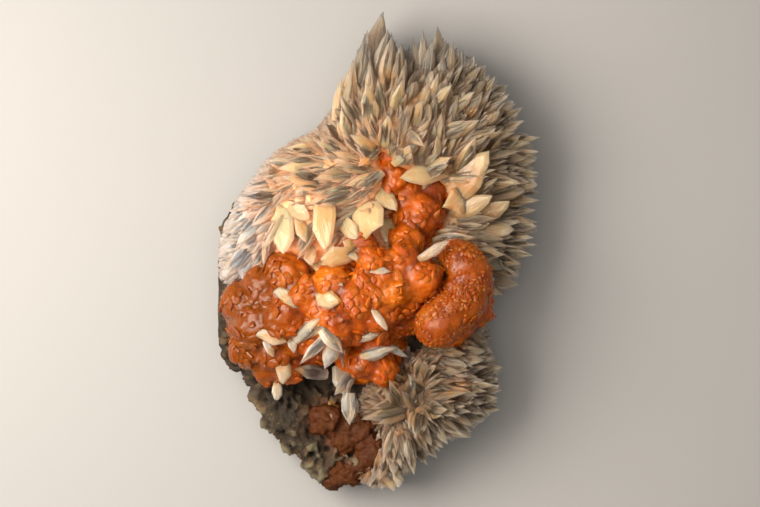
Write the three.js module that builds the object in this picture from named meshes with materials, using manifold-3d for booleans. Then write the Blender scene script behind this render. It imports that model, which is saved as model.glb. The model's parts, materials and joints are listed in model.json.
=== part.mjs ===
// A colemanite hand specimen: crusts of pale bladed crystals and rounded orange growths on porous rock.
// It lies on its rough back with the crystals up. Millimetres, +Z up, +Y along its length.
// The origin is on the surface it lies on, under the middle of its bounding box.
import * as THREE from "three";
import { mergeVertices } from "three/addons/utils/BufferGeometryUtils.js";
import Module from "manifold-3d";

const wasm = await Module();
wasm.setup();
const { Manifold, Mesh: ManifoldMesh } = wasm;

// Driving dimensions.
const GAP = 0.3; // clearance between neighbouring growths
const FINEST = 0.08; // joins and cuts leave no edge shorter than this
const BLADE_THICKNESS = 0.42; // of a blade's width
const BLADE_ROOT = 2.2; // how deep a blade's root is buried
const STRAY = 0.34; // how far a blade leans away from its neighbours
const HIGHEST_TIP = 48.6; // no blade stands higher than this
const SHORTEST = 2.5; // nor is a filler shorter than this
const TRIAL_STEP = 0.5; // fillers that pass the outline of the tips are shortened in steps of this
const STOUTEST = 0.75; // and are at most this share of their length wide

// Outlines seen from above, anticlockwise from the right, as [x, y].
const ROCK_OUTLINE = [
  [39, 7], [39, 24], [36, 41], [27, 52], [14, 60], [1, 62], [-8.5, 56], [-14.5, 47],
  [-20.5, 39.5], [-28, 36.7], [-36.3, 30.7], [-43, 23.5], [-47.8, 16.5], [-51, 9], [-53.4, -1],
  [-53.2, -11], [-53.2, -19], [-54, -28], [-52.5, -35], [-48.5, -40], [-45, -43], [-42, -48],
  [-38.7, -55], [-35.5, -62.5], [-33.3, -67], [-29, -72], [-24, -76.7], [-16, -78.8], [-9, -78.2],
  [-2, -76], [5, -70.5], [12, -63.5], [22, -56], [29.5, -49], [33, -38], [34.5, -24], [36.5, -9],
];
const UPPER_OUTLINE = [
  [42.5, 7.5], [44, 17.5], [44, 27.5], [42.5, 37.5], [39, 46.5], [33.5, 54.5], [26, 62], [18, 65],
  [11, 62], [6.5, 63.5], [2.7, 68], [-2.5, 68], [-6.5, 63.5], [-9, 56.5], [-13, 48],
  [-19.3, 39.7], [-27, 36.5], [-35.3, 30.7], [-42, 22.7], [-46.3, 16.3], [-49.7, 9], [-51.8, 0.5],
  [-51.5, -7.5], [-47.5, -12.5], [-38.5, -15], [-26, -16], [-9, -19], [7, -21], [22, -21],
  [31, -19], [37, -12.5], [40.5, -3],
];
const LOWER_OUTLINE = [
  [36, -31], [34.5, -37], [35.5, -43], [34.5, -49], [30, -53.5], [24.5, -57.5], [18, -60],
  [15, -64], [11, -67.5], [8, -71], [5.5, -75], [0.5, -76.5], [-5, -75.5], [-3.5, -71.5],
  [0, -66.5], [2, -62], [-1, -57.5], [-5.5, -53.5], [-6, -48], [-2, -44], [5.5, -40],
  [11.5, -33.5], [21, -28], [31, -23.5], [35, -25.5],
].reverse();

// How far the tips of the blades reach, seen from above.
const UPPER_TIPS = [
  [41.6, -14.4], [47.2, -11.2], [48, -4], [51.6, -1.2], [53.8, 2.3], [53.4, 10], [54.2, 17.2],
  [53.8, 26.6], [53.8, 33.6], [54.3, 38.3], [48.8, 45], [44.5, 52], [43, 56], [36, 62.6], [28.4, 67.2],
  [24.8, 70], [19.8, 75.2], [14.8, 73.8], [9, 68], [4.6, 71.6], [1.6, 79.9], [-3.4, 74], [-8, 63.6],
  [-12, 55], [-15.5, 46.5], [-20.5, 39.5], [-28, 36.7], [-36.3, 30.7], [-43, 23.5], [-47.8, 16.5],
  [-51, 9], [-53, -1], [-52.4, -9], [-46, -13.5], [-38, -8], [-31, -3], [-24, -3], [-17.6, -1], [-4, 3],
  [2, 4], [9, 8], [22, -6], [31, -12], [36, -15],
];
const LOWER_TIPS = [
  [40, -36], [41.8, -38.2], [40.5, -42], [41.4, -46], [40, -48.6], [41, -52.8], [36, -56], [32, -60],
  [30.8, -61.8], [22, -65], [19.8, -68.8], [16.6, -71.2], [12, -74.2], [9, -76.4], [5.6, -80],
  [-2, -79.4], [-9, -76], [-6, -71], [-3, -66], [-2, -58], [-6, -54], [-7, -48], [-3, -42], [5, -38],
  [12, -34], [22, -30], [31, -26], [36, -28],
];

// Each bed is a pillow under its outline: its centre, the height of its rim, how square its shoulder is,
// the heights of its top and underside, how far its blades' tips reach, and how many facets it has around
// and from top to bottom.
const ROCK = {
  outline: ROCK_OUTLINE, centre: [-7, -9], rim: 10.5, shoulder: 0.62,
  top: rockTop, under: rockUnder, facets: [26, 10],
};
const UPPER = {
  outline: UPPER_OUTLINE, centre: [2, 22], rim: 15, shoulder: 0.86,
  top: upperTop, under: () => 7, tips: { outline: UPPER_TIPS, centre: [2, 22] }, facets: [22, 8],
};
const LOWER = {
  outline: LOWER_OUTLINE, centre: [17, -48], rim: 14, shoulder: 0.88,
  top: lowerTop, under: () => 7.5, tips: { outline: LOWER_TIPS, centre: [17, -48] }, facets: [18, 7],
};
const FLAT_FOOT = 0; // the rock's underside is cut level here, where it rests
const ROUGHNESS = 0.9; // how far the rock's skin goes in and out

// Broken faces of the rock: the way each faces, [x, y, z], and how far it is from the middle of the rock.
const BREAKS = [
  [-1, -0.2, -0.75, 44], [-0.55, 1, -0.5, 45], [0.45, 1, -0.7, 57], [1, 0.25, -0.65, 38],
  [0.8, -0.7, -0.6, 47],
  [-0.35, -1, -0.45, 63.5], [-0.9, -0.9, 0.25, 55], [-1, 0.35, 0.5, 43],
];

const LARGE_LUMP = 7.7; // lumps of a larger radius have more facets

// Orange growths as [x, y, z, radius], and how much flatter than round they are.
const ORANGE_FLATTEN = 0.92;
const ORANGE_LUMPS = [
  // the broad mass on the left
  [-45.4, -17, 26, 7], [-38, -12.5, 29, 7.6], [-30.4, -7.6, 32, 7.8], [-40, -24.5, 30.5, 8],
  [-31, -22, 34, 8.2],
  [-43, -32, 23.5, 7], [-34.5, -32.5, 29, 6.8], [-36.4, -39, 22.5, 5.4], [-29.8, -38.6, 26.5, 5.2],
  [-23.6, -15, 35, 7.6],
  [-22, -28, 33, 6.2], [-13.7, -23.6, 38.5, 7.4],
  // the globules in the middle
  [-14.6, -11.6, 39, 7.4], [-7.4, -16.4, 41.5, 7.6], [-1.4, -3.4, 42, 5.2], [5.4, -13.4, 42.6, 5.4],
  [0.2, -20.8, 40.4, 5.8], [8.4, -2.6, 41, 5.4], [14.4, -9, 40, 7.2], [9.8, -17, 38, 4.8], [-6, 1.6, 37, 6],
  // the pocket above them
  [13.2, 12.4, 27.5, 9.2], [10, 4, 33, 5.8], [17, 20, 26, 6.4], [6, 23.6, 31, 5.4], [2.4, 30.6, 32, 4.2],
  // the pair of balls below them, and the dark floor behind
  [-5.4, -36.6, 32, 5.4], [1.6, -39.2, 31, 5.2], [-1.6, -29.6, 32, 6],
  // the shoulder under the lobe, seen between the two crusts
  [32.4, -19.4, 26, 5.6], [25, -25, 28, 6],
];
const ORANGE_CORES = [ // [x, y, z, radius across X, radius along Y, height]
  [-30, -22, 20, 21, 18, 15], [0, -14, 24, 26, 15, 16], [9, 7, 23, 12, 25, 9], [-3, -32, 20, 13, 12, 11],
  [24, -17, 22, 14, 11, 10],
];
const FLOOR_LUMPS = [ // the low orange skin between the rock and the lower crust
  [-16.5, -56, 15, 6.4], [-11.5, -62, 15.5, 5.6], [-5, -60, 17, 5], [0, -65.5, 18.5, 4.6],
  [-3.6, -70.5, 18, 4.6],
  [-9.6, -73.6, 16.5, 4.4], [-15, -75.4, 13.6, 4],
];

// The hooked orange lobe: points [x, y, z, radius] along its middle, from its upper end.
const LOBE = [
  [19.6, -0.6, 36, 4.4], [26.6, -2.4, 37.5, 6.6], [30.4, -8.8, 38.5, 7.6], [27.4, -16.4, 40, 7.8],
  [20.6, -23, 41, 7.8], [14, -29.2, 40, 7.2],
];
const LOBE_SIDES = 10;
const LOBE_RINGS = 15;
const LOBE_CAP = 0.17; // the share of its length that each rounded end takes

// The way the blades lean: [x, y, bearing, tilt] in degrees, blended by distance.
const UPPER_LEAN = [
  [0, 66, 92, 8], [17, 64, 72, 11], [34, 52, 42, 11], [43, 38, 18, 8], [45, 22, 5, 7], [43, 5, -10, 7],
  [38, -8, -30, 8], [28, 20, 15, 20], [18, 44, 60, 19], [-2, 46, 100, 20], [-18, 34, 150, 14],
  [-34, 26, 170, 11], [-46, 8, 200, 11], [-26, 16, 215, 17], [-18, 6, 245, 18], [-36, 2, 235, 17],
  [-2, 22, 205, 21],
];
const LOWER_LEAN = [
  [36, -40, 8, 8], [35, -50, -14, 7], [26, -58, -46, 8], [16, -64, -58, 8], [6, -74, -66, 8],
  [-4, -52, 178, 24], [10, -46, 120, 30], [26, -42, 20, 26], [30, -30, -20, 12], [-4, -74, 200, 10],
];

// Blades that stand out by their place: [root x, root y, tip x, tip y, width, tilt].
const SPIRE = [
  [-3.2, 56, 1.6, 79.9, 11.4, 5], [-8, 50, -3.4, 73.6, 9, 8], [-11.6, 43, -8, 63.6, 8, 10],
  [2.6, 54, 4.6, 71.6, 7.4, 12],
  [6, 53, 7.6, 69.4, 6, 10],
];
const UPPER_RIM = [
  [12.2, 58, 12, 71.6, 4.2, 10], [15.6, 58.5, 14.8, 73.8, 4.8, 8], [20, 60, 19.8, 75.2, 7, 6],
  [22.2, 57, 24.8, 70, 5.6, 12],
  [26.6, 55.5, 28.4, 67.2, 4.6, 8], [30, 54, 32, 65.8, 4.2, 12], [32, 53, 36, 62.6, 4.2, 6],
  [34, 50.6, 39.2, 58.6, 4.2, 12],
  [35.4, 52.2, 44, 56, 4, 8], [34.6, 46.6, 43.2, 51.2, 4.2, 16], [38.8, 42.2, 48.2, 48.2, 4.8, 10],
  [39.6, 40, 48.8, 43.8, 4.2, 18],
  [42, 36.6, 54.3, 38.3, 4, 8], [42, 32.2, 53.8, 33.6, 4.8, 14], [42.2, 29, 53, 30.6, 4.4, 4],
  [43, 25.6, 53.8, 26.6, 4.2, 12],
  [43, 20.6, 51.8, 21.6, 4.8, 20], [43, 17.2, 54.2, 17.2, 3.6, 6], [43, 13.2, 53, 14, 4.2, 14],
  [42, 10, 53.4, 10, 4.8, 8],
  [40.6, 5.6, 52.2, 4.6, 4.4, 16], [40.4, 3, 53.8, 2.3, 3, 4], [39, 0.6, 51.6, -1.2, 4.8, 12],
  [37.6, -2, 48, -4, 4.8, 8],
  [36.6, -5.2, 46.4, -8, 4.4, 14], [36, -8, 47.2, -11.2, 4.2, 6], [34, -11, 41.6, -14.4, 4.4, 10],
];
const UPPER_FACE = [
  [24, 17.6, 36, 32.6, 10.4, 21], [30.6, 19, 21.8, 15, 8.6, 24], [25.6, 12.2, 38.2, 18.8, 6.6, 24],
  [30.6, 10, 44.2, 17.2, 5.8, 18],
  [20.6, 37.4, 33.6, 43.4, 6.6, 25], [17.4, 48, 24.6, 55.4, 5.6, 24], [20.6, 27.4, 19.4, 39, 5, 28],
  [27.4, 29, 32.4, 38, 6.8, 29],
  [36.6, 34, 40.8, 40.8, 5.6, 24], [5.6, 47, 8, 56.6, 6.4, 28], [-2.6, 44, -3.6, 55.6, 6.8, 25],
  [-9.4, 38, -12, 48, 6, 24],
  [10.8, 42, 14.6, 50, 6, 31], [2.6, 36.6, 3.4, 45, 5.6, 35], [-14, 31, -19, 38, 5.6, 27],
  [29, 46, 34.6, 52, 5, 24],
  // hanging over the orange mass on the left
  [-17.6, 17.4, -17.6, 0.8, 8.2, 15], [-28.4, 14.6, -21.8, 10.8, 5, 21],
  [-31.6, 13.4, -31.2, -1.4, 6.8, 14],
  [-26, 10, -23.6, 3, 4.4, 18], [-36.6, 5.6, -38, -5.4, 3.2, 13], [-44.4, -1, -42.8, -12.6, 7.4, 11],
  [-40, 10, -47, 2, 5.4, 21], [-36, 16, -42, 20, 5, 18],
  // round the pocket
  [-3, 15.6, -4, 3.8, 9.4, 11], [3.6, 10, 3.2, 2.4, 6.2, 10], [0.4, 19.4, 6, 13.8, 5.6, 18],
  [-11, 10, -6.8, 4, 5.2, 13],
  [-9.6, 7.4, -16, 6.8, 3.8, 17], [22, 27, 8, 24.6, 6.8, 13], [17.6, 25.6, 14.6, 20.4, 4.2, 8],
  [19.8, 28, 12, 31, 3.4, 15],
  [9.6, 39.4, 15.6, 34.4, 4.4, 28], [-1.6, 33, -6.6, 28, 5, 21], [6.6, 30, 11.6, 33.6, 4.6, 25],
  [0, 25, -5.6, 20, 4.6, 24],
  // the sheaf lying on the middle of the orange mass
  [-9, -0.6, -19.6, -2.6, 6.6, 17], [-19.6, -4, -11.6, -11, 6.6, 14], [-9.6, 2.6, -6.8, -3.4, 4.2, 14],
  [-22.6, 1, -21.8, -5, 4.2, 15],
];
const LOWER_RIM = [
  [32.6, -39.6, 41.8, -38.2, 4.8, 8], [32, -43, 40.2, -42, 3.6, 14], [32, -45.4, 41.4, -46, 4.2, 6],
  [32, -48.6, 40, -48.6, 4, 14],
  [31.8, -51, 41, -52.8, 4.8, 8], [30, -52, 35.6, -56.2, 4.2, 14], [26, -55, 31.2, -62.2, 3.6, 8],
  [19, -58.4, 30.8, -61.8, 4.2, 14],
  [15.6, -60, 21.8, -65.2, 4.2, 12], [14, -62.6, 19.8, -68.8, 4.2, 6],
  [13, -64.6, 16.6, -71.2, 3.6, 14], [9.8, -62.6, 12, -74.2, 4.8, 8],
  [3.6, -71, 9, -76.4, 4.2, 14], [2, -72.6, 5.6, -80, 6.6, 6], [0, -75, -2, -79.4, 4.2, 12],
  [-3, -76, -12, -75.4, 4.2, 8],
];
const LOWER_FACE = [
  [8, -52, -5.8, -55.4, 8.4, 16], [2.4, -59, 1.6, -64.2, 4.4, 20], [9, -47.6, 11.4, -40, 6.2, 34],
  [27.4, -45.4, 15.4, -44, 5.4, 24],
  [-4.2, -50, -3.4, -42.8, 3.8, 30], [0, -48.6, 2.6, -43.6, 4.2, 34], [20, -50, 26, -55, 6.6, 34],
  [14, -54, 12, -62, 6.4, 30],
  [27, -49, 33, -46, 6, 34], [6, -66, 8, -72, 5.6, 26], [26, -34, 31.4, -38.4, 5.6, 30],
  [16.6, -38, 21, -33.6, 5, 28],
];

// Blades lying on the orange growths, each by itself or grown together in a small cluster.
const PERCHED = {
  jagged_leaf: [[-32, -13.4, -25.6, -18.8, 4.4, 8]],
  round_plate: [[-18.8, -15.6, -12, -15.8, 5.8, 4]],
  lying_leaf: [[-38.4, -26.8, -29.8, -29.8, 4.8, 4]],
  forked_pair: [[-25.8, -27.8, -18.8, -21.4, 4.8, 10], [-21.8, -26.8, -17.4, -24.2, 2.8, 14]],
  drop_plate: [[-31.4, -37.4, -31.4, -43.4, 5, -8]],
  small_tooth: [[-36.8, -30, -34, -34.8, 2.6, 0]],
  small_wedge: [[-28.4, -29.4, -27.6, -33.6, 2.8, 6]],
  hanging_cluster: [
    [-17, -27, -11.4, -33.2, 5.4, 6], [-14.4, -30, -17.6, -38.6, 5.6, 10], [-17.2, -28.4, -25.8, -37, 4, 2],
    [-12, -31.4, -11.6, -38.8, 2.6, -6],
  ],
  grey_blade: [[-18.8, -40.4, -27.8, -38.8, 5, 6]],
  slim_leaf: [[-5.4, -28.8, 1.2, -26.2, 2.6, 6]],
  upright_leaf: [[-0.8, -19.8, 3.2, -26, 2.8, 10]],
  small_leaf: [[-0.8, -6.2, 4, -6.4, 2.6, 10]],
  seed_blade: [[1.6, 1, 4, -3.6, 2.8, 12]],
  long_leaf: [[13.6, -2.4, 23.8, 3.8, 3.2, 8]],
  bent_leaf: [[-3.6, -34.4, 6, -31.4, 4.2, 10], [4, -31.6, 10.2, -35, 2.8, 8]],
  brush: [
    [9.4, -33.4, 7.6, -40, 2.8, 20], [9.8, -33.6, 10, -40.2, 2.4, 30], [10, -34, 12.6, -39, 2.4, 14],
    [8.6, -34.6, 12.8, -33.8, 2.6, 20],
  ],
  pocket_crystal: [[-12.6, -40, -10, -49, 6.4, 20], [-9, -41, -14.6, -47.6, 4.4, 30]],
  floor_tooth: [[-15, -49.6, -15, -56.4, 3.8, 6]],
  floor_plate: [[-9.4, -49.2, -9.4, -57.6, 6, 8]],
  edge_tooth: [[-33.6, -44.8, -33.6, -49.6, 3.2, 8]],
};

// Fillers: how many, how long and how wide.
const UPPER_FILL = { count: 58, length: [10, 15], width: [4.6, 7.4], reach: 0.93 };
const LOWER_FILL = { count: 20, length: [8, 12.5], width: [4.2, 6.6], reach: 0.92 };
const SIDE_FILL = { step: 14, length: [7, 10], width: [5, 7.5], heights: [0.45, -0.4] };

// A repeatable number from -1 to 1 for item i and purpose k.
function jitter(i, k) {
  const wave = Math.sin(i * 12.9898 + k * 78.233) * 43758.5453;
  return 2 * (wave - Math.floor(wave)) - 1;
}

function between([low, high], share) {
  return low + (high - low) * (0.5 + 0.5 * share);
}

// A hill or hollow of a height, centred at x0, y0 and that wide.
function hill(x, y, x0, y0, wide, height) {
  return height * Math.exp(-((x - x0) ** 2 + (y - y0) ** 2) / (2 * wide * wide));
}

// Uneven ground made of crossing waves, from about -1 to 1.
function uneven(x, y, z, scale) {
  const [a, b, c] = [x / scale, y / scale, z / scale];
  return (
    0.5 * Math.sin(a + 1.7 * Math.sin(b * 0.8 + 1)) * Math.cos(b * 1.1 + 0.6 * c) +
    0.3 * Math.sin(2.3 * b - 1.1 * a + 1.3 * c + 2) +
    0.2 * Math.cos(3.1 * a + 2.7 * b - 1.9 * c)
  );
}

function rockTop(x, y) {
  const ground = 21.5 + hill(x, y, -30, -55, 9, 2.5) - hill(x, y, -16, -55, 6.5, 7) -
    hill(x, y, -19, -42, 7, 6);
  const shelf = hill(x, y, -48, -36, 6, -7); // the lower ledge at the left corner
  return ground + shelf + 1.3 * uneven(x, y, 0, 5);
}

function rockUnder(x, y) {
  return 5.5 - hill(x, y, -5, -3, 34, 8.5) + 2.4 * uneven(x + 9, y - 4, 0, 8);
}

function upperTop(x, y) {
  return (
    36.5 + hill(x, y, 0, 34, 16, 4) - hill(x, y, 13, 14, 9, 9) + hill(x, y, -24, 14, 9, 3) -
    hill(x, y, 36, 10, 12, 4) - hill(x, y, 0, 64, 9, 8) + 1.2 * uneven(x, y, 0, 4.2)
  );
}

function lowerTop(x, y) {
  return 31 + hill(x, y, 8, -46, 9, 3) - hill(x, y, 2, -72, 8, 5) + 1.1 * uneven(x, y, 0, 3.8);
}

// Distance from a bed's centre to its outline along a bearing.
function reachOf(bed, bearing) {
  const [cx, cy] = bed.centre;
  const [dx, dy] = [Math.cos(bearing), Math.sin(bearing)];
  let reach = 0;
  bed.outline.forEach(([ax, ay], i) => {
    const [bx, by] = bed.outline[(i + 1) % bed.outline.length];
    const [ex, ey] = [bx - ax, by - ay];
    const cross = dx * ey - dy * ex;
    if (Math.abs(cross) < 1e-9) return;
    const along = ((ax - cx) * ey - (ay - cy) * ex) / cross;
    const share = ((ax - cx) * dy - (ay - cy) * dx) / cross;
    if (along > 0 && share >= 0 && share < 1) reach = Math.max(reach, along);
  });
  return reach;
}

// A point of a bed's surface. Polar is 0 at the top, half pi at the rim and pi underneath.
function bedPoint(bed, bearing, polar, grow = 0) {
  const out = Math.max(0, Math.sin(polar)) ** bed.shoulder;
  const up = Math.abs(Math.cos(polar)) ** bed.shoulder;
  const reach = reachOf(bed, bearing) + grow;
  const x = bed.centre[0] + out * reach * Math.cos(bearing);
  const y = bed.centre[1] + out * reach * Math.sin(bearing);
  const peak = polar < Math.PI / 2 ? bed.top(x, y) + grow : bed.under(x, y) - grow;
  return new THREE.Vector3(x, y, bed.rim + (peak - bed.rim) * up);
}

// The height of a bed's top at x, y.
function bedHeight(bed, x, y) {
  const bearing = Math.atan2(y - bed.centre[1], x - bed.centre[0]);
  const out = Math.min(1, Math.hypot(x - bed.centre[0], y - bed.centre[1]) / reachOf(bed, bearing));
  const up = (1 - out ** (2 / bed.shoulder)) ** (bed.shoulder / 2);
  return bed.rim + (bed.top(x, y) - bed.rim) * up;
}

// The direction blades take at x, y.
function leanAt(field, x, y) {
  const lean = new THREE.Vector3();
  for (const [fx, fy, bearing, tilt] of field) {
    const weight = 1 / ((x - fx) ** 2 + (y - fy) ** 2 + 12);
    lean.addScaledVector(heading(bearing, tilt), weight);
  }
  return lean.normalize();
}

function heading(bearing, tilt) {
  const [b, t] = [THREE.MathUtils.degToRad(bearing), THREE.MathUtils.degToRad(tilt)];
  return new THREE.Vector3(Math.cos(b) * Math.cos(t), Math.sin(b) * Math.cos(t), Math.sin(t));
}

// A closed geometry as a solid that can be joined and cut.
function solidOf(geometry) {
  const bare = new THREE.BufferGeometry().setAttribute("position", geometry.getAttribute("position"));
  if (geometry.index) bare.setIndex(geometry.index);
  const merged = mergeVertices(bare, 1e-4);
  const made = new Manifold(
    new ManifoldMesh({
      numProp: 3,
      vertProperties: new Float32Array(merged.getAttribute("position").array),
      triVerts: new Uint32Array(merged.index.array),
      tolerance: FINEST,
    }),
  );
  if (made.volume() < 0) throw new Error("a geometry is inside out");
  return made;
}

function joined(solids) {
  return solids.reduce((whole, solid) => whole.add(solid));
}

// The largest body of a solid: crumbs that a cut leaves behind are dropped.
function largest(solid) {
  return solid.decompose().sort((a, b) => b.volume() - a.volume())[0];
}

// Moves every vertex of a unit sphere to where place(bearing, polar) puts it.
function shapedSphere([around, rows], place) {
  const sphere = new THREE.SphereGeometry(1, around, rows);
  const at = sphere.getAttribute("position");
  for (let i = 0; i < at.count; i++) {
    const [x, up, z] = [at.getX(i), at.getY(i), at.getZ(i)];
    const p = place(Math.atan2(-z, x), Math.acos(THREE.MathUtils.clamp(up, -1, 1)));
    at.setXYZ(i, p.x, p.y, p.z);
  }
  return solidOf(sphere);
}

function rockSolid(grow = 0) {
  const middle = new THREE.Vector3(...ROCK.centre, ROCK.rim);
  return shapedSphere(ROCK.facets, (bearing, polar) => {
    const out = bedPoint(ROCK, bearing, polar, grow).sub(middle);
    out.multiplyScalar(1 + (ROUGHNESS * uneven(out.x, out.y, out.z, 2.6)) / (8 + out.length()));
    for (const [x, y, z, distance] of BREAKS) {
      const reach = new THREE.Vector3(x, y, z).normalize().dot(out);
      if (reach > distance + grow) out.multiplyScalar((distance + grow) / reach);
    }
    out.z = Math.max(FLAT_FOOT - ROCK.rim, out.z);
    return out.add(middle);
  });
}

// A blade: a flattened spindle with a sharp tip and four-cornered rings, each at a share of its length.
const PLAIN_RINGS = [[0.5, 1]];
const FULL_RINGS = [[0.36, 1], [0.74, 0.7]];

function blade({ root, tip, width, roll = 0, rings = PLAIN_RINGS, grow = 0 }) {
  const length = tip.distanceTo(root);
  const ahead = tip.clone().sub(root).normalize();
  const side = new THREE.Vector3(0, 0, 1).cross(ahead).normalize().applyAxisAngle(ahead, roll);
  const flat = ahead.clone().cross(side);
  const points = [root.clone().addScaledVector(ahead, -BLADE_ROOT - grow)];
  for (const [share, scale] of rings) {
    const half = (width / 2) * scale;
    for (const [s, f] of [[1, 0], [0, 1], [-1, 0], [0, -1]]) {
      const corner = root.clone().addScaledVector(ahead, length * share);
      corner.addScaledVector(side, s * (half + grow));
      corner.addScaledVector(flat, f * (half * BLADE_THICKNESS + grow));
      points.push(corner);
    }
  }
  points.push(tip.clone().addScaledVector(ahead, grow));
  const last = points.length - 1;
  const faces = [];
  for (let k = 0; k < 4; k++) {
    const n = (k + 1) % 4;
    faces.push(0, 1 + n, 1 + k);
    for (let ring = 1; ring < last - 4; ring += 4) {
      faces.push(ring + k, ring + n, ring + 4 + n, ring + k, ring + 4 + n, ring + 4 + k);
    }
    faces.push(last - 4 + k, last - 4 + n, last);
  }
  return solidOf(new THREE.BufferGeometry().setFromPoints(points).setIndex(faces));
}

// Blades given by root and tip as seen from above, standing on a ground.
function placedBlades(list, ground, { seed, rings, grow }) {
  return list.map(([rx, ry, tx, ty, width, tilt], i) => {
    const rise = Math.hypot(tx - rx, ty - ry) * Math.tan(THREE.MathUtils.degToRad(tilt));
    const root = new THREE.Vector3(rx, ry, ground(rx, ry));
    const tip = new THREE.Vector3(tx, ty, Math.min(HIGHEST_TIP, root.z + rise));
    return blade({ root, tip, width, roll: 0.5 * jitter(i, seed), rings, grow });
  });
}

// How long a blade can be before its tip passes the outline of the tips, or stands too high.
function roomFor(bed, root, lean, wanted) {
  const [cx, cy] = bed.tips.centre;
  for (let length = wanted; length > SHORTEST; length -= TRIAL_STEP) {
    const tip = root.clone().addScaledVector(lean, length);
    const reach = reachOf(bed.tips, Math.atan2(tip.y - cy, tip.x - cx));
    if (tip.z < HIGHEST_TIP && Math.hypot(tip.x - cx, tip.y - cy) < reach) return length;
  }
  return SHORTEST;
}

// Blades spread over a bed in a sunflower pattern, each leaning as the field says.
function filledBlades(bed, field, fill, { seed, grow }) {
  const blades = [];
  for (let i = 0; i < fill.count; i++) {
    const bearing = i * Math.PI * (3 - Math.sqrt(5));
    const out = Math.sqrt((i + 0.5) / fill.count) * fill.reach * reachOf(bed, bearing);
    const x = bed.centre[0] + out * Math.cos(bearing);
    const y = bed.centre[1] + out * Math.sin(bearing);
    if (orangeHeight(x, y) > bedHeight(bed, x, y)) continue;
    const lean = leanAt(field, x, y);
    const stray = new THREE.Vector3(jitter(i, seed), jitter(i, seed + 1), 0.6 * jitter(i, seed + 2));
    lean.addScaledVector(stray, STRAY).normalize();
    const root = new THREE.Vector3(x, y, bedHeight(bed, x, y) - 0.6);
    const length = roomFor(bed, root, lean, between(fill.length, jitter(i, seed + 3)));
    const tip = root.clone().addScaledVector(lean, length);
    const width = Math.min(between(fill.width, jitter(i, seed + 4)), STOUTEST * length);
    blades.push(blade({ root, tip, width, roll: 0.8 * jitter(i, seed + 5), grow }));
  }
  return blades;
}

// Rows of blades round a bed's side, between two bearings in degrees.
function sideBlades(bed, from, to, { seed, grow }) {
  const blades = [];
  SIDE_FILL.heights.forEach((height, row) => {
    const step = (SIDE_FILL.step / 45) * (180 / Math.PI);
    for (let a = from + (row * step) / 2, i = 0; a < to; a += step, i++) {
      const bearing = THREE.MathUtils.degToRad(a);
      const polar = Math.PI / 2 - height * 0.8;
      const root = bedPoint(bed, bearing, polar);
      const inward = 1 - 1.5 / reachOf(bed, bearing);
      root.x = bed.centre[0] + (root.x - bed.centre[0]) * inward;
      root.y = bed.centre[1] + (root.y - bed.centre[1]) * inward;
      const lean = heading(a + 16 * jitter(i, seed + row), height * 30 + 12 * jitter(i, seed + 2 + row));
      const length = roomFor(bed, root, lean, between(SIDE_FILL.length, jitter(i, seed + 4 + row)));
      const tip = root.clone().addScaledVector(lean, length);
      const width = Math.min(between(SIDE_FILL.width, jitter(i, seed + 6 + row)), STOUTEST * length);
      blades.push(blade({ root, tip, width, roll: 0.8 * jitter(i, seed + 8 + row), grow }));
    }
  });
  return blades;
}

// The top of the orange growths at x, y, or nothing where there are none.
function orangeHeight(x, y) {
  let height = -Infinity;
  const flattened = ORANGE_LUMPS.map(([lx, ly, lz, r]) => [lx, ly, lz, r, r, r * ORANGE_FLATTEN]);
  for (const [lx, ly, lz, rx, ry, rz] of [...flattened, ...ORANGE_CORES]) {
    const away = ((x - lx) / rx) ** 2 + ((y - ly) / ry) ** 2;
    if (away < 1) height = Math.max(height, lz + rz * Math.sqrt(1 - away));
  }
  return height;
}

// A rounded lump with slightly uneven radii.
function lump([x, y, z, r], i, grow = 0) {
  const Ball = r > LARGE_LUMP ? THREE.IcosahedronGeometry : THREE.OctahedronGeometry;
  const ball = new Ball(1, 1);
  const at = ball.getAttribute("position");
  for (let k = 0; k < at.count; k++) {
    const [a, b, c] = [at.getX(k), at.getY(k), at.getZ(k)];
    const radius = r * (1 + 0.07 * uneven(a * 3 + i, b * 3, c * 3, 1)) + grow;
    at.setXYZ(k, x + a * radius, y + b * radius, z + c * radius * ORANGE_FLATTEN);
  }
  return solidOf(ball);
}

function ellipsoid([x, y, z, rx, ry, rz], grow = 0) {
  const ball = new THREE.IcosahedronGeometry(1);
  ball.scale(rx + grow, ry + grow, rz + grow).translate(x, y, z);
  return solidOf(ball);
}

function orangeSolid(grow = 0) {
  return joined([
    ...ORANGE_LUMPS.map((l, i) => lump(l, i, grow)),
    ...ORANGE_CORES.map((c) => ellipsoid(c, grow)),
  ]);
}

function floorSolid(grow = 0) {
  return joined(FLOOR_LUMPS.map((l, i) => lump(l, i + 50, grow)));
}

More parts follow.
